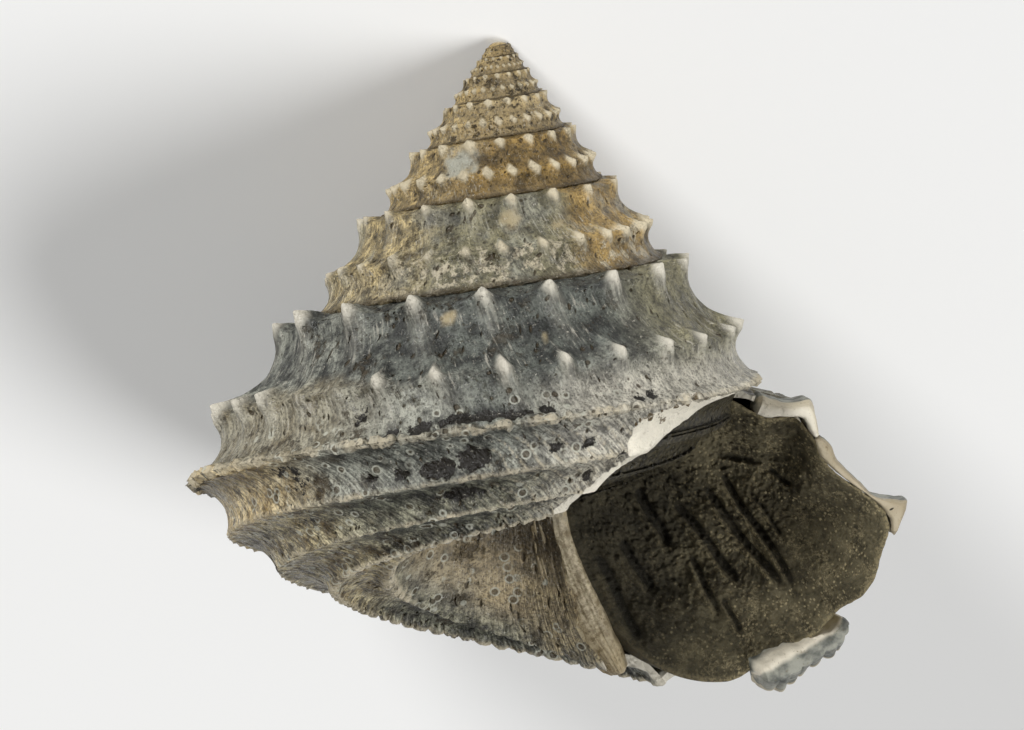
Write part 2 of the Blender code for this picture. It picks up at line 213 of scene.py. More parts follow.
class TopShellStage(bpy.types.PropertyGroup):
    """Camera and light."""

    view_distance: number("Camera distance", "From the shell to the camera", 0.6, unit="LENGTH")
    view_width: number("View width", "Width that the camera sees at the shell", 25.28 * MM, precision=5,
                       unit="LENGTH")
    view_centre: numbers("View centre", "Right of and down from the apex, in the view",
                         (0.311 * MM, 7.904 * MM), size=2, precision=5, unit="LENGTH")
    lean: number("Lean", "Lean of the coiling axis in the view", 0.03, subtype="ANGLE")
    key: number("Key light", "Strength of the key light", 2.5)
    fill: number("Fill light", "Strength of the fill light", 2.1)
    sky: number("Sky", "Strength of the light all round", 0.16)
    floor: tint("Floor", "Colour of the floor", (0.8, 0.8, 0.79))


def growth():
    return bpy.context.scene.top_shell_growth


def ornament():
    return bpy.context.scene.top_shell_ornament


class Shade(tuple):
    """A colour that a share darkens or lightens."""

    def __mul__(self, share):
        return Shade(channel * share for channel in self)


def palette():
    """The finish's colours as shades."""
    group = bpy.context.scene.top_shell_finish
    return SimpleNamespace(**{name: Shade(getattr(group, name)) for name in TopShellFinish.__annotations__})


# ---------------------------------------------------------------------------------- coiling


def grown(turn, way):
    """How large the radial sizes or the drops are at a turn, as a share of those at the lip."""
    rate, flare, flare_rate = (getattr(growth(), way + part) for part in ("_rate", "_flare", "_flare_rate"))
    return np.exp(rate * turn - flare * (1.0 - np.exp(flare_rate * turn)))


def rest_matrix():
    law = growth()
    lay = Matrix.Rotation(math.radians(-90.0) - law.apex_dip, 3, "X")
    return np.array(lay @ Matrix.Rotation(law.roll, 3, "Z"))


def coiled(radius, drop, turn):
    """Points of the coiling frame in mm, from sizes given at the lip and the turn they grew at."""
    angle = -2.0 * math.pi * turn
    out = radius * grown(turn, "radial")
    depth = drop * grown(turn, "drop") - growth().growth_centre
    return np.stack([out * np.cos(angle), out * np.sin(angle), -depth], axis=-1)


def laid(points, lowest=-np.inf):
    """Points of the coiling frame, in mm, as places over the floor, in metres, and none below the lowest."""
    placed = points * MM @ rest_matrix().T + np.array(growth().rest_shift)
    placed[..., 2] = np.maximum(placed[..., 2], lowest)
    return placed


def smooth(value, low, high):
    share = np.clip((value - low) / (high - low), 0.0, 1.0)
    return share * share * (3.0 - 2.0 * share)


def between(value, low, full, fading, high):
    """1 from full to fading, and down to 0 at low and at high."""
    return smooth(value, low, full) * (1 - smooth(value, fading, high))


def bell(value, centre, width):
    return np.exp(-((value - centre) / width) ** 2)


def arches(phase):
    """Round arches with sharp notches between them, one to each whole number of the phase."""
    return np.sqrt(np.abs(np.sin(np.pi * phase)))


def curve_point(p0, p1, p2, p3, local):
    """A point between p1 and p2 on the smooth curve through four points."""
    return 0.5 * (2 * p1 + (p2 - p0) * local + (2 * p0 - 5 * p1 + 4 * p2 - p3) * local ** 2
                  + (3 * p1 - p0 - 3 * p2 + p3) * local ** 3)


def whorl_section(place):
    """Radius and drop at the lip for places counted in crests. Before the seam it runs inwards."""
    crests, hollows = np.array(CRESTS), np.array(HOLLOWS)
    inside = np.clip(place, 0.0, FUNNEL_END - 1e-6)
    step = inside.astype(int)
    share = (inside - step)[..., None]
    here, hollow, following = crests[step], hollows[step], crests[step + 1]
    point = (1 - share) ** 2 * here + 2 * share * (1 - share) * hollow + share ** 2 * following
    start = np.minimum(place, 0.0)[..., None] * np.array((1.6, 0.9))
    return point + start


def spread_places(low, high):
    """Turns a share from 0 to 1 into a place from low to high, with places closer near the crests."""
    fine = np.linspace(low, high, 4000)
    weight = 1.0 + 2.6 * sum(bell(fine, crest, 0.13) for crest in range(RIB_4 + 1))
    total = np.cumsum(weight)
    total = (total - total[0]) / (total[-1] - total[0])
    return lambda share: np.interp(share, total, fine)


def whorl_outward(place):
    """Unit direction out of the wall, in the plane of the section."""
    ahead = whorl_section(place + 0.02) - whorl_section(place - 0.02)
    ahead /= np.linalg.norm(ahead, axis=-1, keepdims=True)
    return np.stack([ahead[..., 1], -ahead[..., 0]], axis=-1)


def lag(place):
    return np.interp(place, range(len(LINE_LAG)), LINE_LAG)


def spine_turns(known, spacing):
    """Turns of a row's spines from the apex to the lip: the known ones, with even spines between."""
    turns = [APEX_TURN + 0.7, *known, 0.02]
    row = [turns[0]]
    for before, after in zip(turns, turns[1:]):
        count = max(1, round((after - before) / spacing))
        row += [before + (after - before) * (k + 1) / count for k in range(count)]
    return np.array(row)


def nearest_spine(line, row):
    """Signed distance in turns from growth line to the nearest spine of the row, and its number."""
    number = np.clip(np.searchsorted(row, line), 1, len(row) - 1)
    number -= (line - row[number - 1]) < (row[number] - line)
    return line - row[number], number


def rough(points, scale, seed=0.0):
    """Smooth noise between about -1 and 1 at each point, with features of about 1 / scale mm."""
    flat = points.reshape(-1, 3) * scale + seed
    values = [noise.noise(Vector(point)) for point in flat]
    return np.array(values).reshape(points.shape[:-1])


# ---------------------------------------------------------------------------------- relief


def spine_relief(turn, place, row, at_row, width, seed):
    """Shares of a spine's full size at each point: how far it stands out, rises, and folds below."""
    line = turn + lag(place) - lag(at_row)
    distance, number = nearest_spine(line, row)
    unlike = np.random.default_rng(seed).uniform(0.74, 1.12, len(row))[number]
    early = smooth(-turn, 1.4, 2.6)
    width = width * (1.0 + 0.45 * early)
    across = np.sqrt((distance / width) ** 2 + 0.14) - 0.374
    down = place - at_row
    below = np.exp(-(np.maximum(down, 0.0) / (0.16 + 0.07 * early)) ** 1.2)
    under = np.where(down < 0, 1.0, below)
    standing = np.exp(-(np.maximum(-down, 0.0) / (0.14 + 0.07 * early)) ** 1.6) * under
    rising = np.exp(-(np.maximum(-down, 0.0) / 0.42) ** 2.0) * under
    peak = np.exp(-1.55 * across) * unlike
    fold = np.exp(-(across / 0.7) ** 2) * smooth(down, 0.0, 0.12) * np.exp(-np.maximum(down, 0.0) / 0.3)
    return peak * standing, (peak - 0.28) * rising, fold * unlike


def ridged(phase):
    """Sharp ridges with round hollows between them, one to each whole number of the phase."""
    return 1.0 - arches(phase)


def glaze_sides(place):
    """Turns at which the glaze over the whorl before starts, at the mouth's side, and ends."""
    places, mouth_side, far_side = zip(*GLAZE_BAND)
    return np.interp(place, places, mouth_side), np.interp(place, places, far_side)


def shell_relief(turn, place, base):
    """Moves of the outer surface at the lip's scale: (radius, drop) in mm, and the marks it leaves."""
    sizes = ornament()
    upper, upper_rise, upper_fold = spine_relief(
        turn, place, spine_turns(UPPER_SPINES, spacing=0.06), UPPER_ROW, width=0.008, seed=11)
    outer, outer_rise, outer_fold = spine_relief(
        turn, place, spine_turns(OUTER_SPINES, spacing=0.039), OUTER_ROW, width=0.0058, seed=12)
    worn = smooth(turn, APEX_TURN + 0.3, APEX_TURN + 1.1)
    kept = worn * (1.0 - smooth(turn, -0.16, -0.12))
    early = smooth(-turn, 1.4, 2.6)
    line = turn + lag(place)
    coarse = rough(base, 0.55, 3.0)
    wander = rough(base, 1.6, 7.0)
    fine = rough(base, 5.0, 9.0)

    # Frill of the keel, beads, ribs, riblets and growth lines
    outer_size = 1.0 - 0.65 * bell(turn, -0.625, 0.035)
    outer, outer_rise = outer * outer_size, outer_rise * outer_size
    keel = bell(place, KEEL, 0.11)
    frill = ridged(52.0 * line + 0.5 * wander) + 0.6 * ridged(111.0 * line + 0.4 * fine)
    lumps = bell(place, KEEL - 0.03, 0.13) * between(turn, -0.92, -0.88, -0.66, -0.62)
    lumps *= arches(43.0 * line + 0.9 * wander) - 0.7 + 0.4 * fine
    ribs = sum(bell(place, rib, 0.09) for rib in (RIB_1, RIB_2))
    beads = bell(place, RIB_3, 0.11) * arches(74.0 * line + 0.2 * fine)
    knobs = bell(place, RIB_4, 0.16) * arches(61.0 * line + 0.2 * wander)
    crossed = between(place, 3.1, 3.45, 6.6, 6.9) * (1 - smooth(turn, -0.76, -0.68))
    riblets = crossed * (1.0 - np.abs(np.sin(np.pi * (88.0 * line + 0.5 * wander)))) ** 1.5
    lined = between(place, 2.2, 2.9, 6.8, 7.3) * (0.4 + 0.6 * smooth(turn, -0.78, -0.66))
    lamellae = lined * ((230.0 * line + 0.9 * wander) % 1.0) * (0.6 + 0.4 * fine)

    height = 0.05 * (bell(place, UPPER_ROW, 0.06) + bell(place, OUTER_ROW, 0.05))
    height += worn * (0.24 * upper_fold + 0.3 * outer_fold)
    height += 0.32 * lumps
    height += sizes.keel_frill * keel * frill * (1.0 + 0.8 * bell(turn, -0.53, 0.1))
    height += 0.55 * sizes.keel_frill * ribs * ridged(74.0 * line + 0.5 * wander)
    beaded = 1.5 * beads + knobs * (0.8 + 1.4 * bell(turn, -0.47, 0.06))
    height += sizes.bead * beaded + sizes.riblet * 1.6 * riblets + 0.8 * sizes.riblet * lamellae
    height += sizes.wear * (0.6 * wander + 0.6 * coarse + 0.3 * fine) * worn
    # Eaten places and pale patches
    scarred = np.zeros(turn.shape)
    for scar_turn, scar_place, half_turns, half_places, depth in SCARS:
        away = ((turn - scar_turn) / half_turns) ** 2 + ((place - scar_place) / half_places) ** 2
        away = away * (1.0 + 0.8 * fine + 0.4 * wander)
        scarred = np.maximum(scarred, depth * (1.0 - smooth(away, 0.3, 1.5)))
    patched = np.zeros(turn.shape)
    for patch_turn, patch_place, radius in PATCHES:
        middle = coiled(*whorl_section(np.array([patch_place]))[0], patch_turn)
        away = np.linalg.norm(base - middle, axis=-1) / radius
        patched = np.maximum(patched, 1.0 - smooth(away + 0.4 * fine + 0.2 * wander, 0.55, 1.2))
    height = np.maximum(height + 0.05 * patched - scarred, -0.13)

    # Glaze, what the sediment covers, and the spines
    mouth_side, far_side = glaze_sides(place)
    ragged = 0.0035 * fine + 0.003 * wander
    glazed = smooth(turn, mouth_side - 0.03, mouth_side - 0.022) * smooth(place, 3.0, 3.08)
    glazed *= smooth(far_side + ragged - turn, -0.0015, 0.0015)
    plain_height = 0.1 + 0.03 * wander
    height = height * (1.0 - glazed) + plain_height * glazed
    behind = tucked(turn, place)
    covered = smooth(mouth_side - turn, -0.003, 0.01) * smooth(place, 3.06, 3.3)
    outward = whorl_outward(place)
    move = outward * (height * (1.0 - behind) - DRAWN_IN * behind)[..., None]
    spiny = kept * (1.0 - glazed)
    move[..., 0] += spiny * (1.0 + 0.15 * early) * (sizes.upper_spine * upper + sizes.outer_spine * outer)
    move[..., 1] -= spiny * (1.0 - 0.3 * early) * sizes.spine_lift * (upper_rise + 0.9 * outer_rise)

    # Marks for the finish
    # On the early whorls the pale of the spine tips spreads wider: painted light round the beads
    tips = np.maximum(upper, outer) * kept * (1.0 + 0.7 * early)
    trail = np.maximum(upper_fold, outer_fold) * kept * (1.0 - early)
    crack = bell(far_side + 2.0 * ragged - turn, 0.001, 0.0022) * between(place, 2.9, 3.0, 3.45, 3.6)
    crest = np.maximum(0.42 * keel * (1.0 + 0.5 * wander), 0.45 * ribs * (0.9 + 0.5 * wander))
    buried = smooth(-turn, 0.99, 1.04) * smooth(place, 2.7, 2.95)
    crest = np.maximum(crest, 0.55 * bell(place, RIB_3, 0.08))
    crest = np.maximum(crest, 0.75 * knobs * (1 - smooth(turn, -0.42, -0.36)))
    crest = np.maximum(crest, 0.5 * riblets) * (1 - buried)
    below = np.clip(place, KEEL, RIB_4) % 1.0
    # The groove face just below each crest of the base, which the finish paints as shade
    hollow = smooth(below, 0.03, 0.2) * (1 - 0.8 * smooth(below, 0.45, 0.8)) * (1 - smooth(place, 6.7, 7.0))
    return move, {
        "tips": tips, "crest": np.clip(crest, 0.0, 1.0), "hollow": hollow * (1 - 0.8 * riblets),
        "scar": np.clip(scarred / 0.16, 0.0, 1.0), "patch": patched, "glaze": glazed * (1 - covered),
        # seam: where painted shade goes, in the seam under the whorl before
        "seam": np.maximum(smooth(place, 0.22, 0.0), 0.9 * buried),
        # flat is 1 midway between crests, where the early whorls get painted shade
        "covered": covered, "trail": trail, "flat": np.abs(np.sin(np.pi * place)), "crack": crack,
    }


def tucked(turn, place):
    """How far the last whorl's base is drawn in where the sediment covers it, beyond the glaze."""
    mouth_side = glaze_sides(place)[0]
    return smooth(mouth_side - turn, -0.003, 0.01) * smooth(turn, -1.02, -0.96) * smooth(place, 3.1, 3.8)


def stamp(field, row, column, height, width, depth):
    """Adds a round dimple to a grid of values."""
    rows, columns = field.shape
    top, bottom = max(0, int(row - 2 * height)), min(rows, int(row + 2 * height) + 2)
    left, right = max(0, int(column - 2 * width)), min(columns, int(column + 2 * width) + 2)
    if top >= bottom or left >= right:
        return
    i, j = np.mgrid[top:bottom, left:right]
    away = ((i - row) / height) ** 2 + ((j - column) / width) ** 2
    field[top:bottom, left:right] = np.maximum(field[top:bottom, left:right], depth * np.exp(-away ** 1.5))


def pitting(points, count, seed):
    """Small round pits, as a share of their depth, scattered over a grid of the shell's surface."""
    field = np.zeros(points.shape[:-1])
    row_gap = np.linalg.norm(np.diff(points, axis=0, append=points[-1:]), axis=-1) + 1e-3
    column_gap = np.linalg.norm(np.diff(points, axis=1, append=points[:, -1:]), axis=-1) + 1e-3
    chance = np.random.default_rng(seed)
    rows, columns = field.shape
    for _ in range(count):
        row, column = chance.integers(0, rows - 1), chance.integers(0, columns - 1)
        radius = (0.028 + 0.06 * chance.uniform() ** 3.0) * min(1.0, 0.25 + column_gap[row, column] / 0.05)
        height = radius / row_gap[row, column]
        width = radius * chance.uniform(0.7, 1.2) / column_gap[row, column]
        if height < 60 and width < 30:
            stamp(field, row, column, max(height, 0.8), max(width, 0.8), chance.uniform(0.5, 1.0))
    return field


# ---------------------------------------------------------------------------------- meshes


def only(*things):
    """Selects these objects alone and makes the last one active."""
    bpy.ops.object.select_all(action="DESELECT")
    for thing in things:
        thing.select_set(True)
        bpy.context.view_layer.objects.active = thing


def on_all_faces(thing, operation, **settings):
    only(thing)
    bpy.ops.object.mode_set(mode="EDIT")
    bpy.ops.mesh.select_all(action="SELECT")
    operation(**settings)
    bpy.ops.object.mode_set(mode="OBJECT")


def points_of(mesh):
    flat = np.empty(len(mesh.vertices) * 3)
    mesh.vertices.foreach_get("co", flat)
    return flat.reshape(-1, 3)


def wrapped(thing, name, points, marks):
    """Names a primitive, moves its points to their places and gives them their marks."""
    thing.name = thing.data.name = name
    thing.data.vertices.foreach_set("co", points.ravel())
    for key, values in marks.items():
        layer = thing.data.attributes.new(key, "FLOAT", "POINT")
        layer.data.foreach_set("value", np.ascontiguousarray(values, np.float32))
    thing.data.update()
    return thing


def grid_sheet(name, columns, rows, shape):
    """A grid primitive wrapped to a shape: shape(across, along) gives points and marks, both 0 to 1."""
    only()
    bpy.ops.mesh.primitive_grid_add(x_subdivisions=columns, y_subdivisions=rows, size=1.0)
    flat = points_of(bpy.context.object.data) + 0.5
    column = np.rint(flat[:, 0] * columns).astype(int)
    row = np.rint(flat[:, 1] * rows).astype(int)
    along, across = np.meshgrid(np.linspace(0, 1, rows + 1), np.linspace(0, 1, columns + 1), indexing="ij")
    points, marks = shape(across, along)
    marks = {key: value[row, column] for key, value in marks.items()}
    marks["rim"] = perimeter(flat[:, 0], flat[:, 1])
    return wrapped(bpy.context.object, name, points[row, column], marks)


def perimeter(across, along):
    """Where a point is on the rim of the unit square, from 0 to 4, or -1 inside."""
    rim = np.full(len(across), -1.0)
    close = 1e-4
    rim[across < close] = 4.0 - along[across < close]
    rim[along > 1 - close] = 3.0 - across[along > 1 - close]
    rim[across > 1 - close] = 1.0 + along[across > 1 - close]
    rim[along < close] = across[along < close]
    return rim


def closed_sheet(outer, inner):
    """Joins two wrapped grids into one closed wall, by a strip of triangles round their rims."""
    on_all_faces(inner, bpy.ops.mesh.flip_normals)
    first_inner = len(outer.data.vertices)
    only(inner, outer)
    bpy.ops.object.join()
    mesh = bmesh.new()
    mesh.from_mesh(outer.data)
    mesh.verts.ensure_lookup_table()
    layer = mesh.verts.layers.float["rim"]
    chains = []
    for inside in (False, True):
        chain = [vert for vert in mesh.verts if vert[layer] >= 0 and (vert.index >= first_inner) == inside]
        chain.sort(key=lambda vert: vert[layer])
        turns = [(vert[layer], vert) for vert in chain]
        chains.append(turns + [(turns[0][0] + 4.0, turns[0][1])])
    strip(mesh, *chains)
    bmesh.ops.recalc_face_normals(mesh, faces=mesh.faces)
    mesh.to_mesh(outer.data)
    mesh.free()
    return outer


def strip(mesh, first, second):
    """Triangles between two chains of (count, vertex) with different spacings."""
    i = j = 0
    while i < len(first) - 1 or j < len(second) - 1:
        on_first = j == len(second) - 1 or (i < len(first) - 1 and first[i + 1][0] <= second[j + 1][0])
        if on_first:
            mesh.faces.new((first[i][1], first[i + 1][1], second[j][1]))
            i += 1
        else:
            mesh.faces.new((first[i][1], second[j + 1][1], second[j][1]))
            j += 1


def dressed(thing, material, node):
    """Last step of every piece: smooth shading, its material, and what it stands for in the frame."""
    only(thing)
    bpy.ops.object.shade_smooth_by_angle(angle=SMOOTH_UP_TO)
    thing.data.materials.clear()
    thing.data.materials.append(material)
    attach(thing, "root")
    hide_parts(node)


def edge_turn(place):
    """The turn at which the shell is broken off, with the small steps of a fracture."""
    jag = 0.0022 * np.sin(9.0 * place) + 0.0016 * np.sin(23.0 * place + 1.0)
    return np.interp(place, *zip(*BROKEN_EDGE)) + np.where(place > 0.3, jag, 0.0)


def closing(turn, place):
    """How far the funnel of the early whorls is drawn in to the axis."""
    return smooth(-turn, 1.15, 1.5) * smooth(place, 6.4, 7.0)


def shell_surface(turn, place, relief=True, pit_count=0, seed=0, sunk=np.zeros(())):
    """The shell's outer surface in the coiling frame, with the marks for its finish."""
    section = whorl_section(place) - sunk[..., None] * whorl_outward(place)
    marks = {}
    if relief:
        plain = coiled(section[..., 0], section[..., 1], turn)
        move, marks = shell_relief(turn, place, plain)
        pits = pitting(plain, pit_count, seed) * (1.0 - smooth(marks["tips"], 0.25, 0.5))
        pits *= (1.0 - marks["scar"]) * (1.0 - marks["patch"]) * (1.0 - marks["glaze"])
        move -= whorl_outward(place) * (0.09 * pits)[..., None]
        marks["pit"] = pits
        section = section + move
    drawn = 1.0 - closing(turn, place)
    points = coiled(section[..., 0] * drawn + 0.06 * (1 - drawn), section[..., 1], turn)
    return points, marks


SHELL_MARKS = (
    "tips", "crest", "hollow", "scar", "patch", "glaze", "seam", "flat", "pit", "crack", "covered", "trail",
)


def shell_piece(name, columns, rows, start, stop, low, high, pit_count, seed):
    """One stretch of the shell wall: from one turn to another, and from one crest count to another."""
    wall = ornament().wall
    spread = spread_places(low, high)
    # Rows are closer on the large late whorls than on the small early ones
    thinning = 0.27 if start < -2.5 else 0.0

    def turns(across, along):
        place = spread(across)
        last = edge_turn(place) if stop is None else np.full_like(place, stop)
        if thinning:
            ends = np.exp(thinning * start), np.exp(thinning * last)
            return np.log(ends[0] + (ends[1] - ends[0]) * along) / thinning, place
        return start + (last - start) * along, place

    def near_edge(turn, place, across, along, reach):
        away = (turns(across, np.ones_like(along))[0] - turn) * 2 * math.pi * whorl_section(place)[..., 0]
        return np.exp(-np.maximum(away, 0.0) / reach) * (place < EDGED_UP_TO) * (stop is None)

    def outer(across, along):
        turn, place = turns(across, along)
        points, marks = shell_surface(turn, place, pit_count=pit_count, seed=seed)
        marks["edge"] = near_edge(turn, place, across, along, 0.07)
        return laid(points, 0.0), {**marks, **whereabouts(turn, place)}

    def inner(across, along):
        turn, place = turns(across, along)
        thin = 0.35 + 0.65 * smooth(np.abs(place - np.rint(place)), 0.0, 0.3)
        sunk = wall * thin + DRAWN_IN * tucked(turn, place)
        points, _ = shell_surface(turn, place, relief=False, sunk=sunk)
        marks = {name: np.zeros_like(turn) for name in SHELL_MARKS}
        marks["edge"] = near_edge(turn, place, across, along, 0.25)
        marks["covered"] = (1.0 - marks["edge"]) * (place < EDGED_UP_TO)
        return laid(points, LINING_LOWEST), {**marks, **whereabouts(turn, place)}

    sheet = grid_sheet(name, columns, rows, outer)
    lining = grid_sheet(name + "_lining", columns // 3, rows // 10, inner)
    return closed_sheet(sheet, lining)


def whereabouts(turn, place):
    side = np.cos(2 * math.pi * turn)
    return {"growth_line": turn + lag(place), "turn": turn, "place": place, "side": side}


def ball_piece(name, around, along, shape):
    """A ball primitive wrapped to a closed shape: shape(angle share, share from front to back)."""
    only()
    bpy.ops.mesh.primitive_uv_sphere_add(segments=around, ring_count=along, radius=1.0)
    flat = points_of(bpy.context.object.data)
    angle = np.arctan2(flat[:, 1], flat[:, 0]) / (2 * math.pi) % 1.0
    depth = np.arccos(np.clip(flat[:, 2], -1, 1)) / math.pi
    return wrapped(bpy.context.object, name, *shape(angle, depth))


def outward_faces(thing):
    on_all_faces(thing, bpy.ops.mesh.normals_make_consistent, inside=False)
    return thing


def roughened(thing, amount, scale, seed):
    """Moves each point of a piece along its normal by smooth noise, in mm."""
    mesh, points = thing.data, points_of(thing.data)
    normals = np.empty(points.size)
    mesh.vertex_normals.foreach_get("vector", normals)
    normals = normals.reshape(-1, 3)
    bumps = rough(points / MM, scale, seed) + 0.5 * rough(points / MM, 2.3 * scale, seed + 5.0)
    mesh.vertices.foreach_set("co", (points + normals * (amount * MM * bumps)[:, None]).ravel())
    mesh.update()


def round_curve(points, share):
    """A smooth closed curve through points, read at shares of its length from 0 to 1."""
    points = np.array(points, float)
    count = len(points)
    gaps = np.linalg.norm(np.roll(points, -1, axis=0)[:, :2] - points[:, :2], axis=1)
    ends = np.concatenate([[0.0], np.cumsum(gaps)]) / gaps.sum()
    where = np.clip(np.searchsorted(ends, share, side="right") - 1, 0, count - 1)
    local = ((share - ends[where]) / (ends[where + 1] - ends[where]))[:, None]
    return curve_point(*(points[(where + k) % count] for k in (-1, 0, 1, 2)), local)


# ---------------------------------------------------------------------------------- sediment


def mouth_outline():
    """The sediment's rim as (radius, drop, turn) at the lip's scale."""
    outline = [(radius, drop, turn) for (radius, drop), turn in zip(MOUTH, FACE_TURNS)]
    for crest, turn in GLAZED_CRESTS:
        radius, drop = CRESTS[crest]
        ratio_r = grown(turn - 1.0, "radial") / grown(turn, "radial")
        ratio_d = grown(turn - 1.0, "drop") / grown(turn, "drop")
        outline.append((radius * ratio_r - 0.8 * TUCK, drop * ratio_d - TUCK, turn))
    return outline


def gouging(points):
    """How deep the sediment's face is gouged, in mm."""
    across, down = points[..., 0], -points[..., 2]
    depth = np.zeros(across.shape)
    for x1, z1, x2, z2, width, deep in GOUGES:
        along = np.array((x2 - x1, z2 - z1))
        length = np.linalg.norm(along)
        along /= length
        share = ((across - x1) * along[0] + (down - z1) * along[1]) / length
        aside = (across - x1) * -along[1] + (down - z1) * along[0]
        aside = aside + 0.012 * np.sin(7.0 * share + 3.0 * x1) * length
        groove = np.exp(-np.abs(aside / (0.85 * width)) ** 2.4) * between(share, -0.08, 0.15, 0.85, 1.08)
        lip = 0.45 * bell(aside, 1.35 * width, 0.5 * width) * between(share, 0.0, 0.3, 0.8, 1.0)
        depth += 1.4 * deep * (groove - lip)
    return depth


def sediment_shape(angle, depth):
    """Face from the middle out to the rim, then the filling's side back into the whorl."""
    face_end, side_end, back_turn = 0.74, 0.96, -0.235
    outline = round_curve(mouth_outline(), angle)
    rim = coiled(*outline.T)
    outline[:, 0] += 0.05 * rough(rim, 1.8, 4.0) + 0.035 * rough(rim, 5.0, 8.0)
    rim = coiled(*outline.T)
    core = np.array(mouth_outline()).mean(axis=0)
    middle = coiled(*core)
    out = np.clip(depth / face_end, 0.0, 1.0) ** 0.85
    face = middle + (rim - middle) * out[:, None]
    flat = middle[1] + (rim[:, 0] - middle[0]) * out * -0.16 - (rim[:, 2] - middle[2]) * out * 0.1
    keep = smooth(out, 0.35, 1.0)
    face[:, 1] = flat * (1 - keep) + face[:, 1] * keep
    lumps = 0.14 * rough(face, 0.9, 2.0) + 0.08 * rough(face, 2.1, 4.0)
    lumps += 0.09 * np.abs(rough(face, 4.2, 9.0)) + 0.055 * rough(face, 9.0, 1.0)
    grain = 0.05 * rough(face, 17.0, 6.0)
    inner = 1 - smooth(out, 0.9, 1.0)
    face[:, 1] += (gouging(face) + lumps) * inner + grain * (1 - smooth(out, 0.985, 1.0))
    back = np.clip((depth - face_end) / (side_end - face_end), 0.0, 1.0)
    turn = outline[:, 2] + (back_turn - outline[:, 2]) * back
    drawn = outline[:, :2] + (core[:2] - outline[:, :2]) * (0.16 * smooth(back, 0.05, 1.0))[:, None]
    side = coiled(*drawn.T, turn)
    shut = np.clip((depth - side_end) / (1 - side_end), 0.0, 1.0)[:, None]
    side = side + (coiled(*core[:2], back_turn) - side) * shut
    points = np.where((depth < face_end)[:, None], face, side)
    # The gouges are marked for painted shade in them, and their raised lips for a painted highlight
    cut = gouging(face) * (depth < face_end)
    marks = {"cut": np.clip(cut / 0.15, 0, 1), "lit_ridge": np.clip(-cut / 0.06, 0, 1), "rimward": out}
    return laid(points), marks


# ---------------------------------------------------------------------------------- slivers

# Broken pieces of lip: stations from one end to the other as (radius, drop) at the lip in mm, along
# the inner and the outer edge; turns of the back and the front; how far the face slopes back. The
# basal piece has lobes, and old skin on all but its edges
LIP_PIECES = {
    "upper_lip_fragment": dict(
        inner=((6.04, 9.8), (6.34, 9.9), (6.8, 9.92), (7.16, 9.92), (7.3, 10.06), (7.42, 10.3),
               (7.52, 10.46)),
        outer=((6.22, 9.36), (6.56, 9.5), (7.0, 9.58), (7.44, 9.54), (7.56, 9.72), (7.6, 10.06),
               (7.64, 10.4)),
        turns=(-0.03, 0.0), slope=0.1, seed=31.0, stained=0.15, hole=0.0, basal=False),
    "outer_lip_fragment": dict(
        inner=((7.5, 10.46), (7.62, 10.86), (7.78, 11.06), (8.16, 11.42), (8.64, 11.8), (9.12, 12.22),
               (9.3, 12.5), (9.34, 12.86)),
        outer=((7.68, 10.44), (7.92, 10.66), (8.1, 11.06), (8.54, 11.52), (8.96, 11.94), (9.56, 12.06),
               (9.76, 12.16), (9.44, 12.96)),
        turns=(-0.022, 0.0), slope=0.06, seed=32.0, stained=0.8, hole=1.0, basal=False),
    "base_lip_fragment": dict(
        inner=((8.42, 15.2), (8.26, 15.36), (8.02, 15.56), (7.72, 15.72), (7.36, 15.9), (7.0, 16.1),
               (6.62, 16.28), (6.28, 16.5)),
        outer=((8.84, 15.4), (8.94, 15.8), (8.76, 16.26), (8.3, 16.5), (7.84, 16.8), (7.44, 17.06),
               (7.04, 17.28), (6.54, 17.16)),
        turns=(-0.066, -0.036), slope=0.31, seed=33.0, stained=0.3, hole=0.0, basal=True),
}


def through(stations, share):
    """A smooth open curve through evenly spaced stations."""
    stations = np.array(stations, float)
    padded = np.vstack([2 * stations[0] - stations[1], stations, 2 * stations[-1] - stations[-2]])
    where = np.clip(share, 0.0, 1.0) * (len(stations) - 1)
    step = np.minimum(where.astype(int), len(stations) - 2)
    local = (where - step)[:, None]
    return curve_point(*(padded[step + k] for k in range(4)), local)


def squared(angle, power=0.35):
    """Runs round a square with soft corners: (across, front), each from -1 to 1."""
    across, front = np.cos(2 * math.pi * angle), np.sin(2 * math.pi * angle)
    return np.sign(across) * np.abs(across) ** power, np.sign(front) * np.abs(front) ** power


def sliver_ends(depth):
    """Share along the sliver, and how far its section is open: closed to a point at both ends."""
    return np.clip((depth - 0.025) / 0.95, 0.0, 1.0), np.clip(6.0 * np.sin(np.pi * depth), 0.0, 1.0) ** 0.5


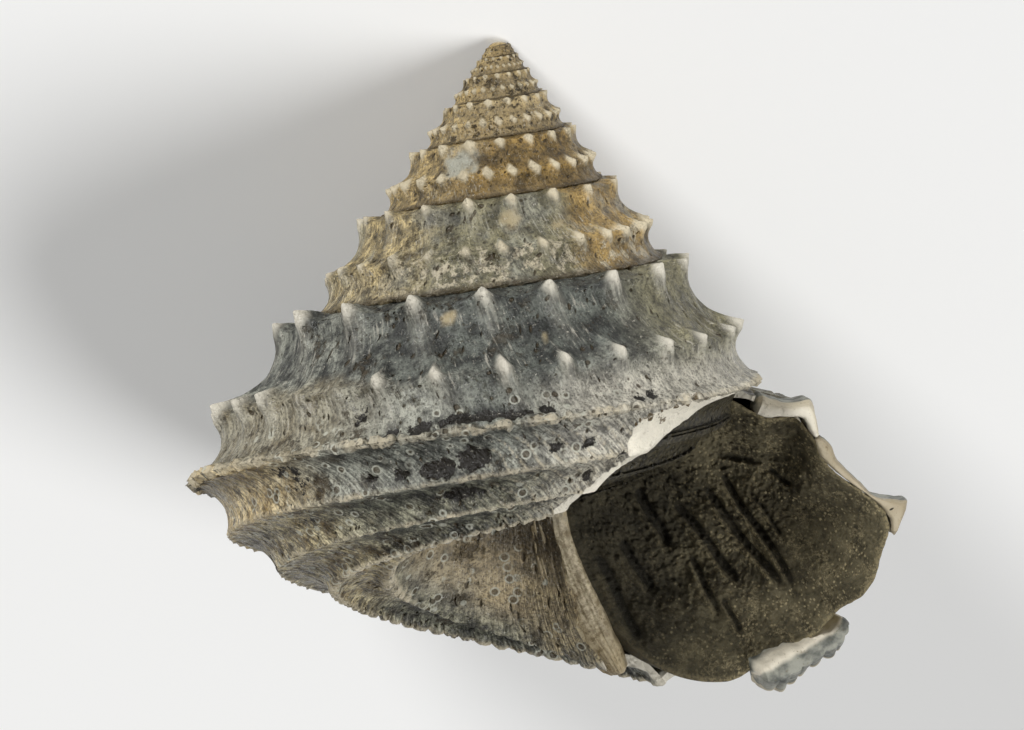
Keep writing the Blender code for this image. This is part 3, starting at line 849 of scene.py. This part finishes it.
def lip_piece_shape(recipe):
    piece = SimpleNamespace(**recipe)

    def shape(angle, depth):
        share, opened = sliver_ends(depth)
        across, front = squared(angle)
        inside, outside = through(piece.inner, share), through(piece.outer, share)
        if piece.basal:
            lobes = 0.13 * arches(9.0 * share + 0.2) - 0.06
            outside = outside + np.stack([0.3 * lobes, lobes], axis=-1)
        middle, half = (inside + outside) / 2, (outside - inside) / 2
        chips = 0.05 * np.sin(17.0 * share + piece.seed) + 0.03 * np.sin(41.0 * share)
        section = middle + half * (across * opened * (1.0 + chips))[:, None]
        top = 1.0 - 2.0 * piece.slope * smooth(across, -0.15 if piece.basal else 0.3, 1.0)
        forward = 0.02 + (top - 0.02) * (0.5 + 0.5 * front * opened)
        back_turn, front_turn = piece.turns
        points = coiled(*section.T, back_turn + (front_turn - back_turn) * forward)
        skin = smooth(across, 0.75, 0.95) * (1 - smooth(front, 0.6, 0.9))
        if piece.basal:
            skin = np.maximum(np.maximum(skin, smooth(across, -0.8, -0.55)), smooth(front, 0.3, -0.3))
            skin = skin * (1.0 - 0.85 * smooth(across, 0.8, 0.95))
        hole = piece.hole * bell(share, 0.757, 0.014) * bell(across, -0.4, 0.28)
        stained = np.full_like(across, piece.stained)
        marks = {"skin": skin, "across": across, "along": 9.0 * share, "stained": stained, "hole": hole}
        return laid(points), marks

    return shape


# The columella, from inside the mouth down to the base: (radius, drop, turn) along each edge
COLUMELLA_MOUTH = (
    (2.3, 12.1, -0.15), (2.42, 13.1, -0.15), (2.66, 14.0, -0.148), (3.22, 15.02, -0.146),
    (3.74, 15.7, -0.146), (4.12, 16.34, -0.144), (4.4, 16.9, -0.14), (4.5, 17.4, -0.136),
)
COLUMELLA_BACK = (
    (2.1, 11.6, -0.214), (2.02, 12.8, -0.218), (2.26, 13.9, -0.218), (2.7, 15.0, -0.214), (3.1, 15.9, -0.206),
    (3.56, 16.8, -0.192), (4.06, 17.44, -0.174), (4.36, 17.8, -0.156),
)


def columella_shape(angle, depth):
    """The broken inner edge of the mouth, a fibrous band that fans out towards the base."""
    share, opened = sliver_ends(depth)
    across, front = squared(angle, 0.7)
    mouth, back = through(COLUMELLA_MOUTH, share), through(COLUMELLA_BACK, share)
    values = (mouth + back) / 2 + (back - mouth) / 2 * (across * opened)[:, None]
    points = coiled(*values.T)
    fibres = 0.022 * rough(np.stack([2.4 * across, 1.7 * share, 0.0 * share], axis=-1), 3.2, 12.0)
    thin = 1.0 - 0.7 * smooth(across, -0.6, 0.9)
    thick = 0.17 * opened * front * thin + fibres * (front > 0) * opened
    points = points - np.array((0.1, 0.96, 0.25)) * (thick * (1.0 + 1.5 * share))[:, None]
    return laid(points), {"across": across, "along": share * 12.0}


# ---------------------------------------------------------------------------------- materials


class Value:
    """A shader value that can be added, taken away and multiplied."""

    def __init__(self, finish, socket):
        self.finish, self.socket = finish, socket

    def __mul__(self, other):
        return self.finish.maths("MULTIPLY", self, other)

    def __add__(self, other):
        return self.finish.maths("ADD", self, other)

    def __sub__(self, other):
        return self.finish.maths("SUBTRACT", self, other)

    def __rsub__(self, other):
        return self.finish.maths("SUBTRACT", other, self)


class Finish:
    """A material, and short ways to add and join its shader nodes."""

    def __init__(self, name):
        self.material = bpy.data.materials.new(name)
        self.material.use_nodes = True
        self.tree = self.material.node_tree
        self.shader = self.tree.nodes["Principled BSDF"]
        self.colour = None

    @cached_property
    def where(self):
        """Places on the piece, in mm."""
        metres = self.node("ShaderNodeTexCoord", "Object")
        return self.node("ShaderNodeMapping", 0, {"Vector": metres, "Scale": (1000, 1000, 1000)})

    def feed(self, socket, value):
        if isinstance(value, Value):
            self.tree.links.new(value.socket, socket)
        elif hasattr(value, "__len__") and len(value) == 3 and socket.type == "RGBA":
            socket.default_value = (*value, 1.0)
        else:
            socket.default_value = value

    def added(self, kind, inputs, **settings):
        made = self.tree.nodes.new(kind)
        for key, value in settings.items():
            setattr(made, key, value)
        for key, value in inputs.items():
            self.feed(made.inputs[key], value)
        return made.outputs

    def node(self, kind, output, inputs=None, **settings):
        return Value(self, self.added(kind, inputs or {}, **settings)[output])

    def mark(self, name):
        return self.node("ShaderNodeAttribute", "Fac", attribute_name=name)

    def vector(self, x, y, z=0.0):
        return self.node("ShaderNodeCombineXYZ", 0, {"X": x, "Y": y, "Z": z})

    def noise(self, scale, detail=4.0, roughness=0.55, over=None):
        """Smooth noise over the places in mm, or over another vector."""
        inputs = {"Vector": over or self.where, "Scale": scale, "Detail": detail, "Roughness": roughness}
        return self.node("ShaderNodeTexNoise", "Fac", inputs)

    def cells(self, scale):
        """Scattered cells: how far a point is from its cell's middle, and the cell's random tone."""
        outputs = self.added("ShaderNodeTexVoronoi", {"Vector": self.where, "Scale": scale})
        return Value(self, outputs["Distance"]), Value(self, outputs["Color"])

    def span(self, value, low, high, to_low=0.0, to_high=1.0):
        inputs = {"Value": value, "From Min": low, "From Max": high, "To Min": to_low, "To Max": to_high}
        return self.node("ShaderNodeMapRange", 0, inputs, interpolation_type="SMOOTHSTEP")

    def tones(self, value, low, high, colour, dark, light):
        """One colour from dark to light, as the value goes from low to high."""
        return self.mix(self.span(value, low, high), colour * dark, colour * light)

    def maths(self, operation, first, second):
        return self.node("ShaderNodeMath", 0, {0: first, 1: second}, operation=operation)

    def most(self, first, *others):
        for other in others:
            first = self.maths("MAXIMUM", first, other)
        return first

    def mix(self, share, first, second, blend="MIX"):
        inputs = {"Factor": share, "A": first, "B": second}
        return self.node("ShaderNodeMix", "Result", inputs, data_type="RGBA", blend_type=blend)

    def lay(self, share, shade, blend="MIX"):
        """Lays a shade over the colour so far."""
        self.colour = self.mix(share, self.colour, shade, blend)

    def bump(self, height, distance_mm, strength=1.0, under=None):
        inputs = {"Height": height, "Distance": distance_mm * MM, "Strength": strength}
        return self.node("ShaderNodeBump", "Normal", {**inputs, "Normal": under} if under else inputs)

    def done(self, roughness, normal, specular=0.5):
        inputs = {"Base Color": self.colour, "Roughness": roughness, "Normal": normal,
                  "Specular IOR Level": specular}
        for key, value in inputs.items():
            self.feed(self.shader.inputs[key], value)
        return self.material


def shell_finish(name="weathered_shell", funnel=False):
    f, c = Finish(name), palette()
    turn, place, line, side = f.mark("turn"), f.mark("place"), f.mark("growth_line"), f.mark("side")
    stretched = f.vector(line * 420.0, place * 3.0)
    lines = f.noise(1.0, 3.0, 0.65, over=stretched)
    broad = f.noise(0.42, 3.0, 0.5)
    mottle = f.noise(1.9, 5.0, 0.62)
    grit = f.noise(9.0, 4.0, 0.65)
    left, right = f.span(side, -0.35, -0.8), f.span(side, 0.45, 0.85)

    # Mottled tones
    slate = f.tones(mottle, 0.36, 0.66, c.slate, 0.22, 1.55)
    ash = f.tones(mottle, 0.34, 0.62, c.ash, 0.18, 1.15)
    cream = f.tones(mottle, 0.3, 0.62, c.cream, 0.26, 1.2)
    honey = f.tones(mottle, 0.3, 0.7, c.honey, 0.6, 1.3)
    olive = f.tones(mottle, 0.3, 0.7, c.olive, 0.45, 1.6)
    tan = f.tones(mottle, 0.3, 0.68, c.tan, 0.42, 1.25)

    # Last whorl: flank, shoulder and the edge above the keel
    flank = f.mix(right, slate, olive)
    flank = f.mix(left * f.span(mottle, 0.4, 0.6, 0.12, 0.55), flank, ash)
    shoulder = f.mix(right * 0.75, ash, olive)
    shoulder = f.mix(left * 0.48, shoulder, c.cream * 0.62)
    centre = f.span(side, -0.35, -0.1) * f.span(side, 0.5, 0.28)
    shoulder = f.mix(centre * 0.85, shoulder, slate)
    ragged = place + f.span(broad, 0.3, 0.7, -0.16, 0.16)
    body = f.mix(f.span(ragged, 1.8, 2.05), flank, shoulder)
    golden = f.span(side, -0.62, -0.92) * f.span(place, 4.0, 4.3, 0.9, 0.45)
    gold = f.mix(f.span(mottle, 0.3, 0.62), c.honey * 0.6, f.mix(0.25, c.cream * 1.65, c.honey))
    weathered = f.mix(f.span(mottle, 0.34, 0.6), c.umber * 1.6, c.ash * 1.55)
    lower = f.mix(left * 0.8, f.mix(0.35, ash, slate), weathered)
    body = f.mix(f.span(ragged, 3.0, 3.1), body, f.mix(golden, lower, gold))
    # Early whorls, then the middle ones
    old = f.mix(f.span(broad, 0.4, 0.54), f.mix(0.4, cream, honey), honey)
    # Painted shade: darker golden brown between the crests of the early whorls
    old = f.mix(f.mark("flat") * f.span(mottle, 0.25, 0.6, 1.0, 0.55), old, c.honey * 0.24)
    old = f.mix(left * 0.8, old, f.mix(0.25, cream, honey))
    old = f.mix(f.span(turn, -3.1, -3.7, 0.0, 0.38), old, f.mix(0.25, c.cream * 1.25, c.honey * 1.5))
    middle = f.mix(f.span(side, 0.3, 0.62) * f.span(broad, 0.35, 0.5), olive, f.mix(0.12, honey, cream))
    middle = f.mix(left * 0.85, middle, cream)
    middle = f.mix(f.span(f.noise(0.9, 3.0), 0.5, 0.6, 0.0, 0.55), middle, ash)
    crusty = f.span(place, 1.78, 1.95) * f.span(f.noise(2.6, 5.0, 0.7), 0.5, 0.57)
    middle = f.mix(crusty * 0.8, middle, f.mix(0.5, c.cream * 1.1, c.chalk * 0.9))
    middle = f.mix(f.span(turn + f.span(broad, 0.3, 0.7, -0.25, 0.25), -2.25, -2.0), old, middle)
    f.colour = f.mix(f.span(turn, -1.16, -1.04), middle, body)
    if funnel:
        f.colour = f.mix(f.span(broad, 0.4, 0.62), tan, f.mix(0.6, ash, tan))
        f.lay(f.span(place, 7.55, 7.05), ash)
        # Painted shade deep in the funnel, under the edge of the whorl
        f.lay(f.span(place, 7.9, 8.5, 0.0, 0.92), c.honey * 0.13)
        fibres = f.mix(f.span(lines, 0.4, 0.56), c.umber * 2.2, c.cream * 0.9)
        fan = f.span(turn, -0.265, -0.2) * f.span(place, 8.4, 7.7)
        f.lay(fan * f.span(mottle, 0.38, 0.6, 0.25, 0.85), fibres)
    pale = f.span(turn, -0.74, -0.815) * f.span(turn, -1.05, -0.99)
    chalky = pale * f.span(place, 2.0, 2.6) * f.span(mottle, 0.35, 0.55, 0.45, 0.9)
    f.lay(chalky, c.chalk * 0.85)
    # Painted shade in the grooves, pores and growth lines
    # Painted shade: dark slate on the groove face just below each crest of the base, less on the left
    groove = f.tones(mottle, 0.35, 0.62, c.slate, 0.3, 1.35)
    groove_shade = f.mark("hollow") * f.span(broad, 0.35, 0.6, 0.95, 0.6)
    groove_shade *= f.span(side, -0.55, -0.9, 1.0, 0.35)
    f.lay(groove_shade * (1.0 - pale * 0.65), groove)
    pores, _ = f.cells(12.0)
    grain = f.maths("MINIMUM", f.span(pores, 0.1, 0.42, 0.32, 1.15), f.span(grit, 0.34, 0.6, 0.42, 1.5))
    f.lay(0.85, f.vector(grain, grain, grain), "MULTIPLY")
    streak = f.span(lines, 0.37, 0.61, 0.38, 1.42)
    grey = f.vector(streak, streak, streak)
    combed = f.most(f.span(place, 2.7, 3.1, 0.3, 0.9), left * 0.6)
    if funnel:
        combed = f.span(turn, -0.3, -0.19, 0.12, 0.5)
    f.lay(combed, grey, "MULTIPLY")
    blotch = f.span(f.noise(3.6, 5.0, 0.7), 0.42, 0.56, 0.42, 1.12)
    warm = f.vector(blotch, blotch * 0.95, blotch * 0.8)
    shaded = f.span(place, 3.9, 4.3, 0.0, 0.9) * f.span(side, 0.35, -0.1, 0.25, 1.0)
    shaded = f.most(shaded, left * f.span(turn, -1.0, -1.1, 0.0, 0.8))
    f.lay(shaded * f.span(place, 7.4, 7.1), warm, "MULTIPLY")
    patch = f.mix(f.span(turn, -2.3, -2.2), c.ash * 1.35, c.cream * 0.85)
    f.lay(f.mark("patch") * f.span(mottle, 0.35, 0.55, 0.45, 0.9), patch)
    trail = f.mark("trail") * f.span(lines, 0.42, 0.58, 0.3, 0.9)
    f.lay(trail, f.mix(0.5, c.ash, c.chalk))

    # Scratches, dirt with painted shade in the seam, crests and ring marks
    scratches = f.span(lines, 0.56, 0.63) * f.span(f.noise(1.1, 3.0), 0.46, 0.58)
    scratches *= f.span(place, 1.0, 1.2) * f.span(place, 3.0, 2.4, 0.4, 1.0)
    f.lay(scratches * 0.7, c.chalk * 0.65)
    small, tone = f.cells(6.5)
    specks = f.span(small, 0.3, 0.16) * f.span(tone, 0.68, 0.78)
    pits = f.span(f.mark("pit"), 0.25, 0.6, 0.0, 0.9)
    stain = f.span(f.noise(1.15, 6.0, 0.72), 0.57, 0.66) * f.span(side, 0.3, -0.5, 0.4, 0.85)
    stain *= f.span(turn, -2.3, -1.2, 0.75, 1.0)
    spots = f.span(f.noise(2.9, 5.0, 0.7), 0.57, 0.63) * f.span(turn, -2.2, -3.4, 0.0, 0.95)
    # Painted shade: umber laid in the seam under the whorl before, along with the real dirt
    seam = f.mark("seam") * f.span(grit, 0.35, 0.55, 0.55, 0.95)
    dirt_and_seam_shade = f.most(specks * 0.55, pits, stain, spots, seam)
    f.lay(dirt_and_seam_shade * f.span(f.mark("tips"), 0.45, 0.2), c.umber)
    crest = f.span(f.mark("crest"), 0.15, 0.6) * f.span(grit, 0.34, 0.52, 0.2, 1.0)
    crest *= f.span(f.noise(1.5, 3.0), 0.36, 0.54, 0.45, 1.0)
    f.lay(crest * f.span(dirt_and_seam_shade, 0.2, 0.8, 1.0, 0.25), f.mix(0.45, c.cream, c.chalk))
    away, tone = f.cells(3.4)
    ringed = f.span(tone, 0.55, 0.62) * f.span(f.noise(0.8, 3.0), 0.46, 0.56)
    ringed *= f.span(place, 2.3, 2.6) * f.span(turn, -0.84, -0.8)
    f.lay(ringed * f.span(away, 0.36, 0.26, 0.0, 0.75), c.umber * 1.2)
    ring = f.span(away, 0.28, 0.36) * f.span(away, 0.5, 0.42, 0.0, 0.7)
    f.lay(ringed * ring, c.ash * 1.7)
    # Eaten places painted near black as the shade in their holes, spine tips, glaze and broken edges
    # Painted shade: the eaten places nearly black, as deep holes look
    scar_shade = f.mark("scar") + f.span(f.noise(6.0, 5.0, 0.7), 0.35, 0.65, -0.32, 0.32)
    f.lay(f.span(scar_shade, 0.44, 0.58), c.umber * 0.18)
    tips = f.span(f.mark("tips"), 0.22, 0.8) * f.span(grit, 0.2, 0.5, 0.8, 1.0)
    bare = f.mix(f.span(turn, -2.0, -1.0), f.mix(0.6, c.chalk * 1.1, c.cream * 1.25), c.chalk)
    f.lay(tips, bare)
    glaze = f.tones(mottle, 0.3, 0.6, c.chalk, 1.52, 1.32)
    cracks = f.span(f.noise(1.35, 6.0, 0.78), 0.6, 0.63)
    glaze = f.mix(cracks * 0.85, glaze, c.honey * 0.3)
    f.lay(f.span(f.mark("glaze"), 0.35, 0.65), glaze)
    f.lay(f.span(f.mark("crack"), 0.3, 0.6) * f.span(grit, 0.3, 0.5), c.honey * 0.28)
    f.lay(f.mark("edge") * 0.9, c.chalk)
    bright = f.span(f.noise(11.0, 4.0, 0.75), 0.6, 0.7)
    f.lay(bright * 0.65, c.chalk)
    sandy = f.tones(grit, 0.4, 0.62, c.sediment, 0.35, 1.5)
    f.lay(f.span(f.mark("covered"), 0.3, 0.6), sandy)

    normal = f.bump(lines, 0.035, 0.9)
    normal = f.bump(grit - dirt_and_seam_shade * 1.2, 0.045, 1.0, normal)
    normal = f.bump(pores, 0.022, 0.8, normal)
    roughness = f.span(f.noise(5.0, 3.0), 0.35, 0.65, 0.24, 0.6)
    return f.done(roughness, normal)


def lip_finish(name="chalky_lip"):
    f, c = Finish(name), palette()
    mottle, grit = f.noise(2.2, 5.0, 0.6), f.noise(10.0, 4.0, 0.65)
    fresh = f.tones(mottle, 0.3, 0.62, c.chalk, 1.0, 1.3)
    fresh = f.mix(f.span(f.mark("across"), -0.2, 0.8, 0.0, 0.55), fresh, c.cream)
    skin = f.mix(f.span(mottle, 0.35, 0.65), c.slate * 0.8, c.ash * 0.95)
    fresh = f.mix(f.mark("stained"), fresh, c.tan * 0.8)
    f.colour = f.mix(f.mark("skin"), fresh, skin)
    strung = f.vector(f.mark("along") * 2.4, f.mark("across") * 3.5)
    pores = f.span(f.noise(1.6, 4.0, 0.7, over=strung), 0.6, 0.7)
    stain = f.most(f.span(f.noise(3.4, 5.0, 0.7), 0.6, 0.72), pores)
    f.lay(stain * 0.75, c.honey * 0.35)
    f.lay(f.span(f.mark("hole"), 0.35, 0.6), c.umber * 0.5)
    normal = f.bump(mottle + grit * 0.5, 0.05, 0.9)
    return f.done(f.span(grit, 0.3, 0.7, 0.35, 0.65), normal)


def columella_finish(name="columella"):
    f, c = Finish(name), palette()
    mottle, grit = f.noise(1.8, 5.0, 0.6), f.noise(9.0, 4.0, 0.65)
    along, across = f.mark("along"), f.mark("across")
    fibres = f.vector(across * 4.5, along * 0.75, mottle * 3.0)
    lines = f.noise(2.2, 5.0, 0.7, over=fibres)
    f.colour = f.tones(mottle, 0.3, 0.68, c.tan, 0.55, 1.15)
    f.lay(f.span(lines, 0.5, 0.4) * f.span(grit, 0.35, 0.6, 0.85, 0.35), c.umber * 1.6)
    crust = f.mix(f.span(grit, 0.38, 0.6), c.tan * 0.7, f.mix(0.35, c.cream * 1.25, c.chalk))
    crusted = across * -0.8 + f.span(mottle, 0.35, 0.65, -0.3, 0.8)
    f.lay(f.span(crusted, -0.1, 0.5) * f.span(along, 11.0, 6.0, 0.35, 1.0), crust)
    f.lay(f.span(f.noise(4.5, 5.0, 0.7), 0.54, 0.62) * 0.75, c.honey * 0.38)
    fresh = f.mix(f.span(mottle, 0.35, 0.6), c.cream * 1.15, c.chalk)
    f.lay(f.span(along, 3.6, 0.8, 0.0, 0.85), fresh)
    normal = f.bump(lines + grit * 0.4, 0.04, 0.9)
    return f.done(f.span(grit, 0.3, 0.7, 0.3, 0.55), normal)


def sediment_finish(name="dark_sediment"):
    f, c = Finish(name), palette()
    mottle = f.noise(1.3, 6.0, 0.65)
    grain = f.noise(14.0, 4.0, 0.7)
    # worn runs from 0 at the sediment's left to 1 at its right: the left gets painted shade, and the pale
    # grains fade into it
    worn = f.span(f.node("ShaderNodeSeparateXYZ", "X", {"Vector": f.where}), 1.0, 8.5)
    lumps = f.noise(5.0, 5.0, 0.65)
    f.colour = f.tones(mottle, 0.38, 0.62, c.sediment, 1.6, 3.6)
    f.lay(f.span(lumps, 0.47, 0.38, 0.0, 0.5), c.sediment * 0.45)
    f.lay(f.span(grain, 0.5, 0.64) * f.span(worn, 0.0, 1.0, 0.45, 1.0), c.straw * 0.45)
    threads = f.maths("ABSOLUTE", f.noise(3.6, 5.0, 0.75) - 0.5, 0.0)
    flecks_and_highlights = f.span(threads, 0.026, 0.008, 0.0, 0.75) * f.span(f.noise(1.7, 4.0), 0.48, 0.6)
    away, tone = f.cells(10.0)
    glint = f.span(away, 0.38, 0.28) * f.span(tone, 0.52, 0.58)
    glint *= f.span(f.noise(0.9, 3.0), 0.42, 0.58, 0.4, 1.0)
    # Painted highlight: pale flecks on the raised lips of the gouges
    lit_ridge = f.mark("lit_ridge") * f.span(grain, 0.48, 0.58, 0.0, 0.9)
    rim = f.span(f.mark("rimward"), 0.955, 0.985) * f.span(grain, 0.42, 0.54, 0.1, 0.8)
    flecks_and_highlights = f.most(flecks_and_highlights, glint, lit_ridge, rim)
    # Painted shade: the sediment's left darker
    f.lay(f.span(worn, 0.35, 0.1, 0.0, 0.7), c.sediment * 0.5)
    f.lay(flecks_and_highlights * f.span(worn, 0.0, 0.6, 0.15, 0.85), c.straw * 1.35)
    # Painted shade in the gouges
    f.lay(f.span(f.mark("cut"), 0.35, 0.9, 0.0, 0.78), c.sediment * 0.25)
    normal = f.bump(lumps, 0.14, 1.0)
    normal = f.bump(grain, 0.08, 1.0, normal)
    normal = f.bump(f.noise(30.0, 3.0, 0.7), 0.03, 0.9, normal)
    return f.done(f.span(grain, 0.35, 0.65, 0.5, 0.9), normal, 0.3)


# ---------------------------------------------------------------------------------- operators


class TOPSHELL_OT_spire(bpy.types.Operator):
    """Builds the whorls of the spire and the worn knob of the apex"""

    bl_idname = "topshell.spire"
    bl_label = "Spire"

    def execute(self, context):
        spire = shell_piece(
            "spire", columns=54, rows=1640, start=APEX_TURN, stop=-1.0,
            low=-0.25, high=3.45, pit_count=1300, seed=21)
        tip = ball_piece("apex", around=24, along=16, shape=apex_shape)
        only(tip, spire)
        bpy.ops.object.join()
        dressed(spire, shell_finish("spire_shell"), "shell")
        return {"FINISHED"}


def apex_shape(angle, depth):
    radius = 0.3 * np.sin(math.pi * depth)
    height = 0.16 + 0.22 * np.cos(math.pi * depth) - 0.3
    turns = angle * 2 * math.pi
    points = np.stack([radius * np.cos(turns), radius * np.sin(turns), height], axis=-1)
    blank = np.zeros_like(angle)
    marks = {name: blank for name in (*SHELL_MARKS, "edge")}
    marks["tips"] = 0.65 * smooth(height, 0.0, 0.07)
    return laid(points, 0.0), {**marks, **whereabouts(blank + APEX_TURN, blank + 0.5)}


class TOPSHELL_OT_body_whorl(bpy.types.Operator):
    """Builds the side of the last whorl, from its seam to the keel"""

    bl_idname = "topshell.body_whorl"
    bl_label = "Body whorl"

    def execute(self, context):
        whorl = shell_piece(
            "body_whorl", columns=74, rows=1230, start=-1.0, stop=None,
            low=-0.25, high=3.0, pit_count=900, seed=22)
        dressed(whorl, shell_finish("body_shell"), "shell")
        return {"FINISHED"}


class TOPSHELL_OT_base(bpy.types.Operator):
    """Builds the ribbed base of the last whorl, from the keel to the rim of the funnel"""

    bl_idname = "topshell.base"
    bl_label = "Base"

    def execute(self, context):
        base = shell_piece(
            "base", columns=66, rows=1380, start=-1.1, stop=None,
            low=3.0, high=7.0, pit_count=1000, seed=23)
        dressed(base, shell_finish("base_shell"), "shell")
        return {"FINISHED"}


class TOPSHELL_OT_funnel(bpy.types.Operator):
    """Builds the wall of the umbilical funnel, round and up the coiling axis"""

    bl_idname = "topshell.funnel"
    bl_label = "Funnel"

    def execute(self, context):
        funnel = shell_piece(
            "funnel", columns=44, rows=760, start=-2.0, stop=None,
            low=7.0, high=10.9, pit_count=350, seed=24)
        dressed(funnel, shell_finish("funnel_shell", funnel=True), "shell")
        return {"FINISHED"}


class TOPSHELL_OT_inner_lip(bpy.types.Operator):
    """Builds the columella, the fibrous inner lip of the mouth"""

    bl_idname = "topshell.inner_lip"
    bl_label = "Inner lip"

    def execute(self, context):
        lip = outward_faces(ball_piece("columella", around=150, along=240, shape=columella_shape))
        roughened(lip, amount=0.02, scale=3.0, seed=41.0)
        dressed(lip, columella_finish(), "shell")
        return {"FINISHED"}


class TOPSHELL_OT_sediment(bpy.types.Operator):
    """Builds the hardened sediment in the mouth, with its gouged and broken face"""

    bl_idname = "topshell.sediment"
    bl_label = "Sediment"

    def execute(self, context):
        plug = outward_faces(ball_piece("sediment", around=380, along=150, shape=sediment_shape))
        dressed(plug, sediment_finish(), "matrix_fill")
        return {"FINISHED"}


class TOPSHELL_OT_lip_pieces(bpy.types.Operator):
    """Builds the three broken pieces of lip that are stuck to the sediment"""

    bl_idname = "topshell.lip_pieces"
    bl_label = "Lip pieces"

    def execute(self, context):
        chalky = lip_finish()
        for node, recipe in LIP_PIECES.items():
            piece = ball_piece(node + "_look", around=96, along=110, shape=lip_piece_shape(recipe))
            outward_faces(piece)
            roughened(piece, amount=0.018, scale=3.4, seed=recipe["seed"])
            dressed(piece, chalky, node)
        return {"FINISHED"}


def view_axes():
    """Right, up and towards the camera, as directions in the room."""
    lean = bpy.context.scene.top_shell_stage.lean
    turn = rest_matrix()
    right = turn @ np.array((math.cos(lean), 0.0, -math.sin(lean)))
    up = turn @ np.array((math.sin(lean), 0.0, math.cos(lean)))
    return Vector(right), Vector(up), Vector(right).cross(Vector(up))


class TOPSHELL_OT_stage(bpy.types.Operator):
    """Sets the floor, the camera and the soft lights"""

    bl_idname = "topshell.stage"
    bl_label = "Stage"

    def execute(self, context):
        stage = context.scene.top_shell_stage
        right, up, towards = view_axes()
        apex = Vector(growth().rest_shift)
        centre = apex + right * stage.view_centre[0] - up * stage.view_centre[1]
        look = Matrix((right, up, towards)).transposed().to_4x4()

        bpy.ops.object.camera_add()
        camera = context.object
        camera.matrix_world = Matrix.Translation(centre + towards * stage.view_distance) @ look
        camera.data.lens = camera.data.sensor_width * stage.view_distance / stage.view_width
        camera.data.clip_start = 0.01
        camera.data.clip_end = 20.0
        context.scene.camera = camera

        self.sun("key_light", Vector((-0.52, 0.8, 0.36)), stage.key, softness=16.0)
        self.sun("fill_light", Vector((0.62, -0.05, 0.78)), stage.fill, softness=30.0)
        world = bpy.data.worlds.new("studio")
        context.scene.world = world
        world.use_nodes = True
        background = world.node_tree.nodes["Background"]
        background.inputs["Color"].default_value = (1.0, 1.0, 1.0, 1.0)
        background.inputs["Strength"].default_value = stage.sky

        only()
        bpy.ops.mesh.primitive_plane_add(size=1.6)
        floor = context.object
        floor.name = "floor"
        floor.data.materials.append(floor_finish(stage.floor))
        context.scene.view_settings.view_transform = "Standard"
        return {"FINISHED"}

    @staticmethod
    def sun(name, direction, strength, softness):
        bpy.ops.object.light_add(type="SUN")
        lamp = bpy.context.object
        lamp.name = name
        lamp.rotation_euler = direction.to_track_quat("Z", "Y").to_euler()
        lamp.data.energy = strength
        lamp.data.angle = math.radians(softness)


def floor_finish(colour):
    """Pale matt floor that stays near white to the camera and keeps the shadow."""
    f = Finish("pale_floor")
    f.feed(f.shader.inputs["Base Color"], tuple(colour))
    f.shader.inputs["Roughness"].default_value = 0.9
    f.shader.inputs["Emission Color"].default_value = (1.0, 1.0, 1.0, 1.0)
    seen = f.node("ShaderNodeLightPath", "Is Camera Ray")
    f.feed(f.shader.inputs["Emission Strength"], seen * 0.1)
    return f.material


class TOPSHELL_PT_panel(bpy.types.Panel):
    """Lists the shell's pieces and sizes in the sidebar"""

    bl_idname = "TOPSHELL_PT_panel"
    bl_label = "Top Shell"
    bl_space_type = "VIEW_3D"
    bl_region_type = "UI"
    bl_category = "Top Shell"

    def draw(self, context):
        for operator in PIECES:
            self.layout.operator(operator.bl_idname)
        for group in GROUPS:
            box = self.layout.box()
            for name in GROUPS[group].__annotations__:
                box.prop(getattr(context.scene, group), name)


GROUPS = {
    "top_shell_growth": TopShellGrowth,
    "top_shell_ornament": TopShellOrnament,
    "top_shell_finish": TopShellFinish,
    "top_shell_stage": TopShellStage,
}
PIECES = (
    TOPSHELL_OT_spire, TOPSHELL_OT_body_whorl, TOPSHELL_OT_base, TOPSHELL_OT_funnel,
    TOPSHELL_OT_inner_lip, TOPSHELL_OT_sediment, TOPSHELL_OT_lip_pieces, TOPSHELL_OT_stage,
)


def register():
    for group in GROUPS.values():
        bpy.utils.register_class(group)
    for name, group in GROUPS.items():
        setattr(bpy.types.Scene, name, bpy.props.PointerProperty(type=group))
    for piece in PIECES:
        bpy.utils.register_class(piece)
    bpy.utils.register_class(TOPSHELL_PT_panel)


def unregister():
    bpy.utils.unregister_class(TOPSHELL_PT_panel)
    for piece in reversed(PIECES):
        bpy.utils.unregister_class(piece)
    for name, group in reversed(GROUPS.items()):
        delattr(bpy.types.Scene, name)
        bpy.utils.unregister_class(group)


def main():
    register()
    for piece in PIECES:
        category, name = piece.bl_idname.split(".")
        getattr(getattr(bpy.ops, category), name)()


if __name__ == "__main__":
    main()
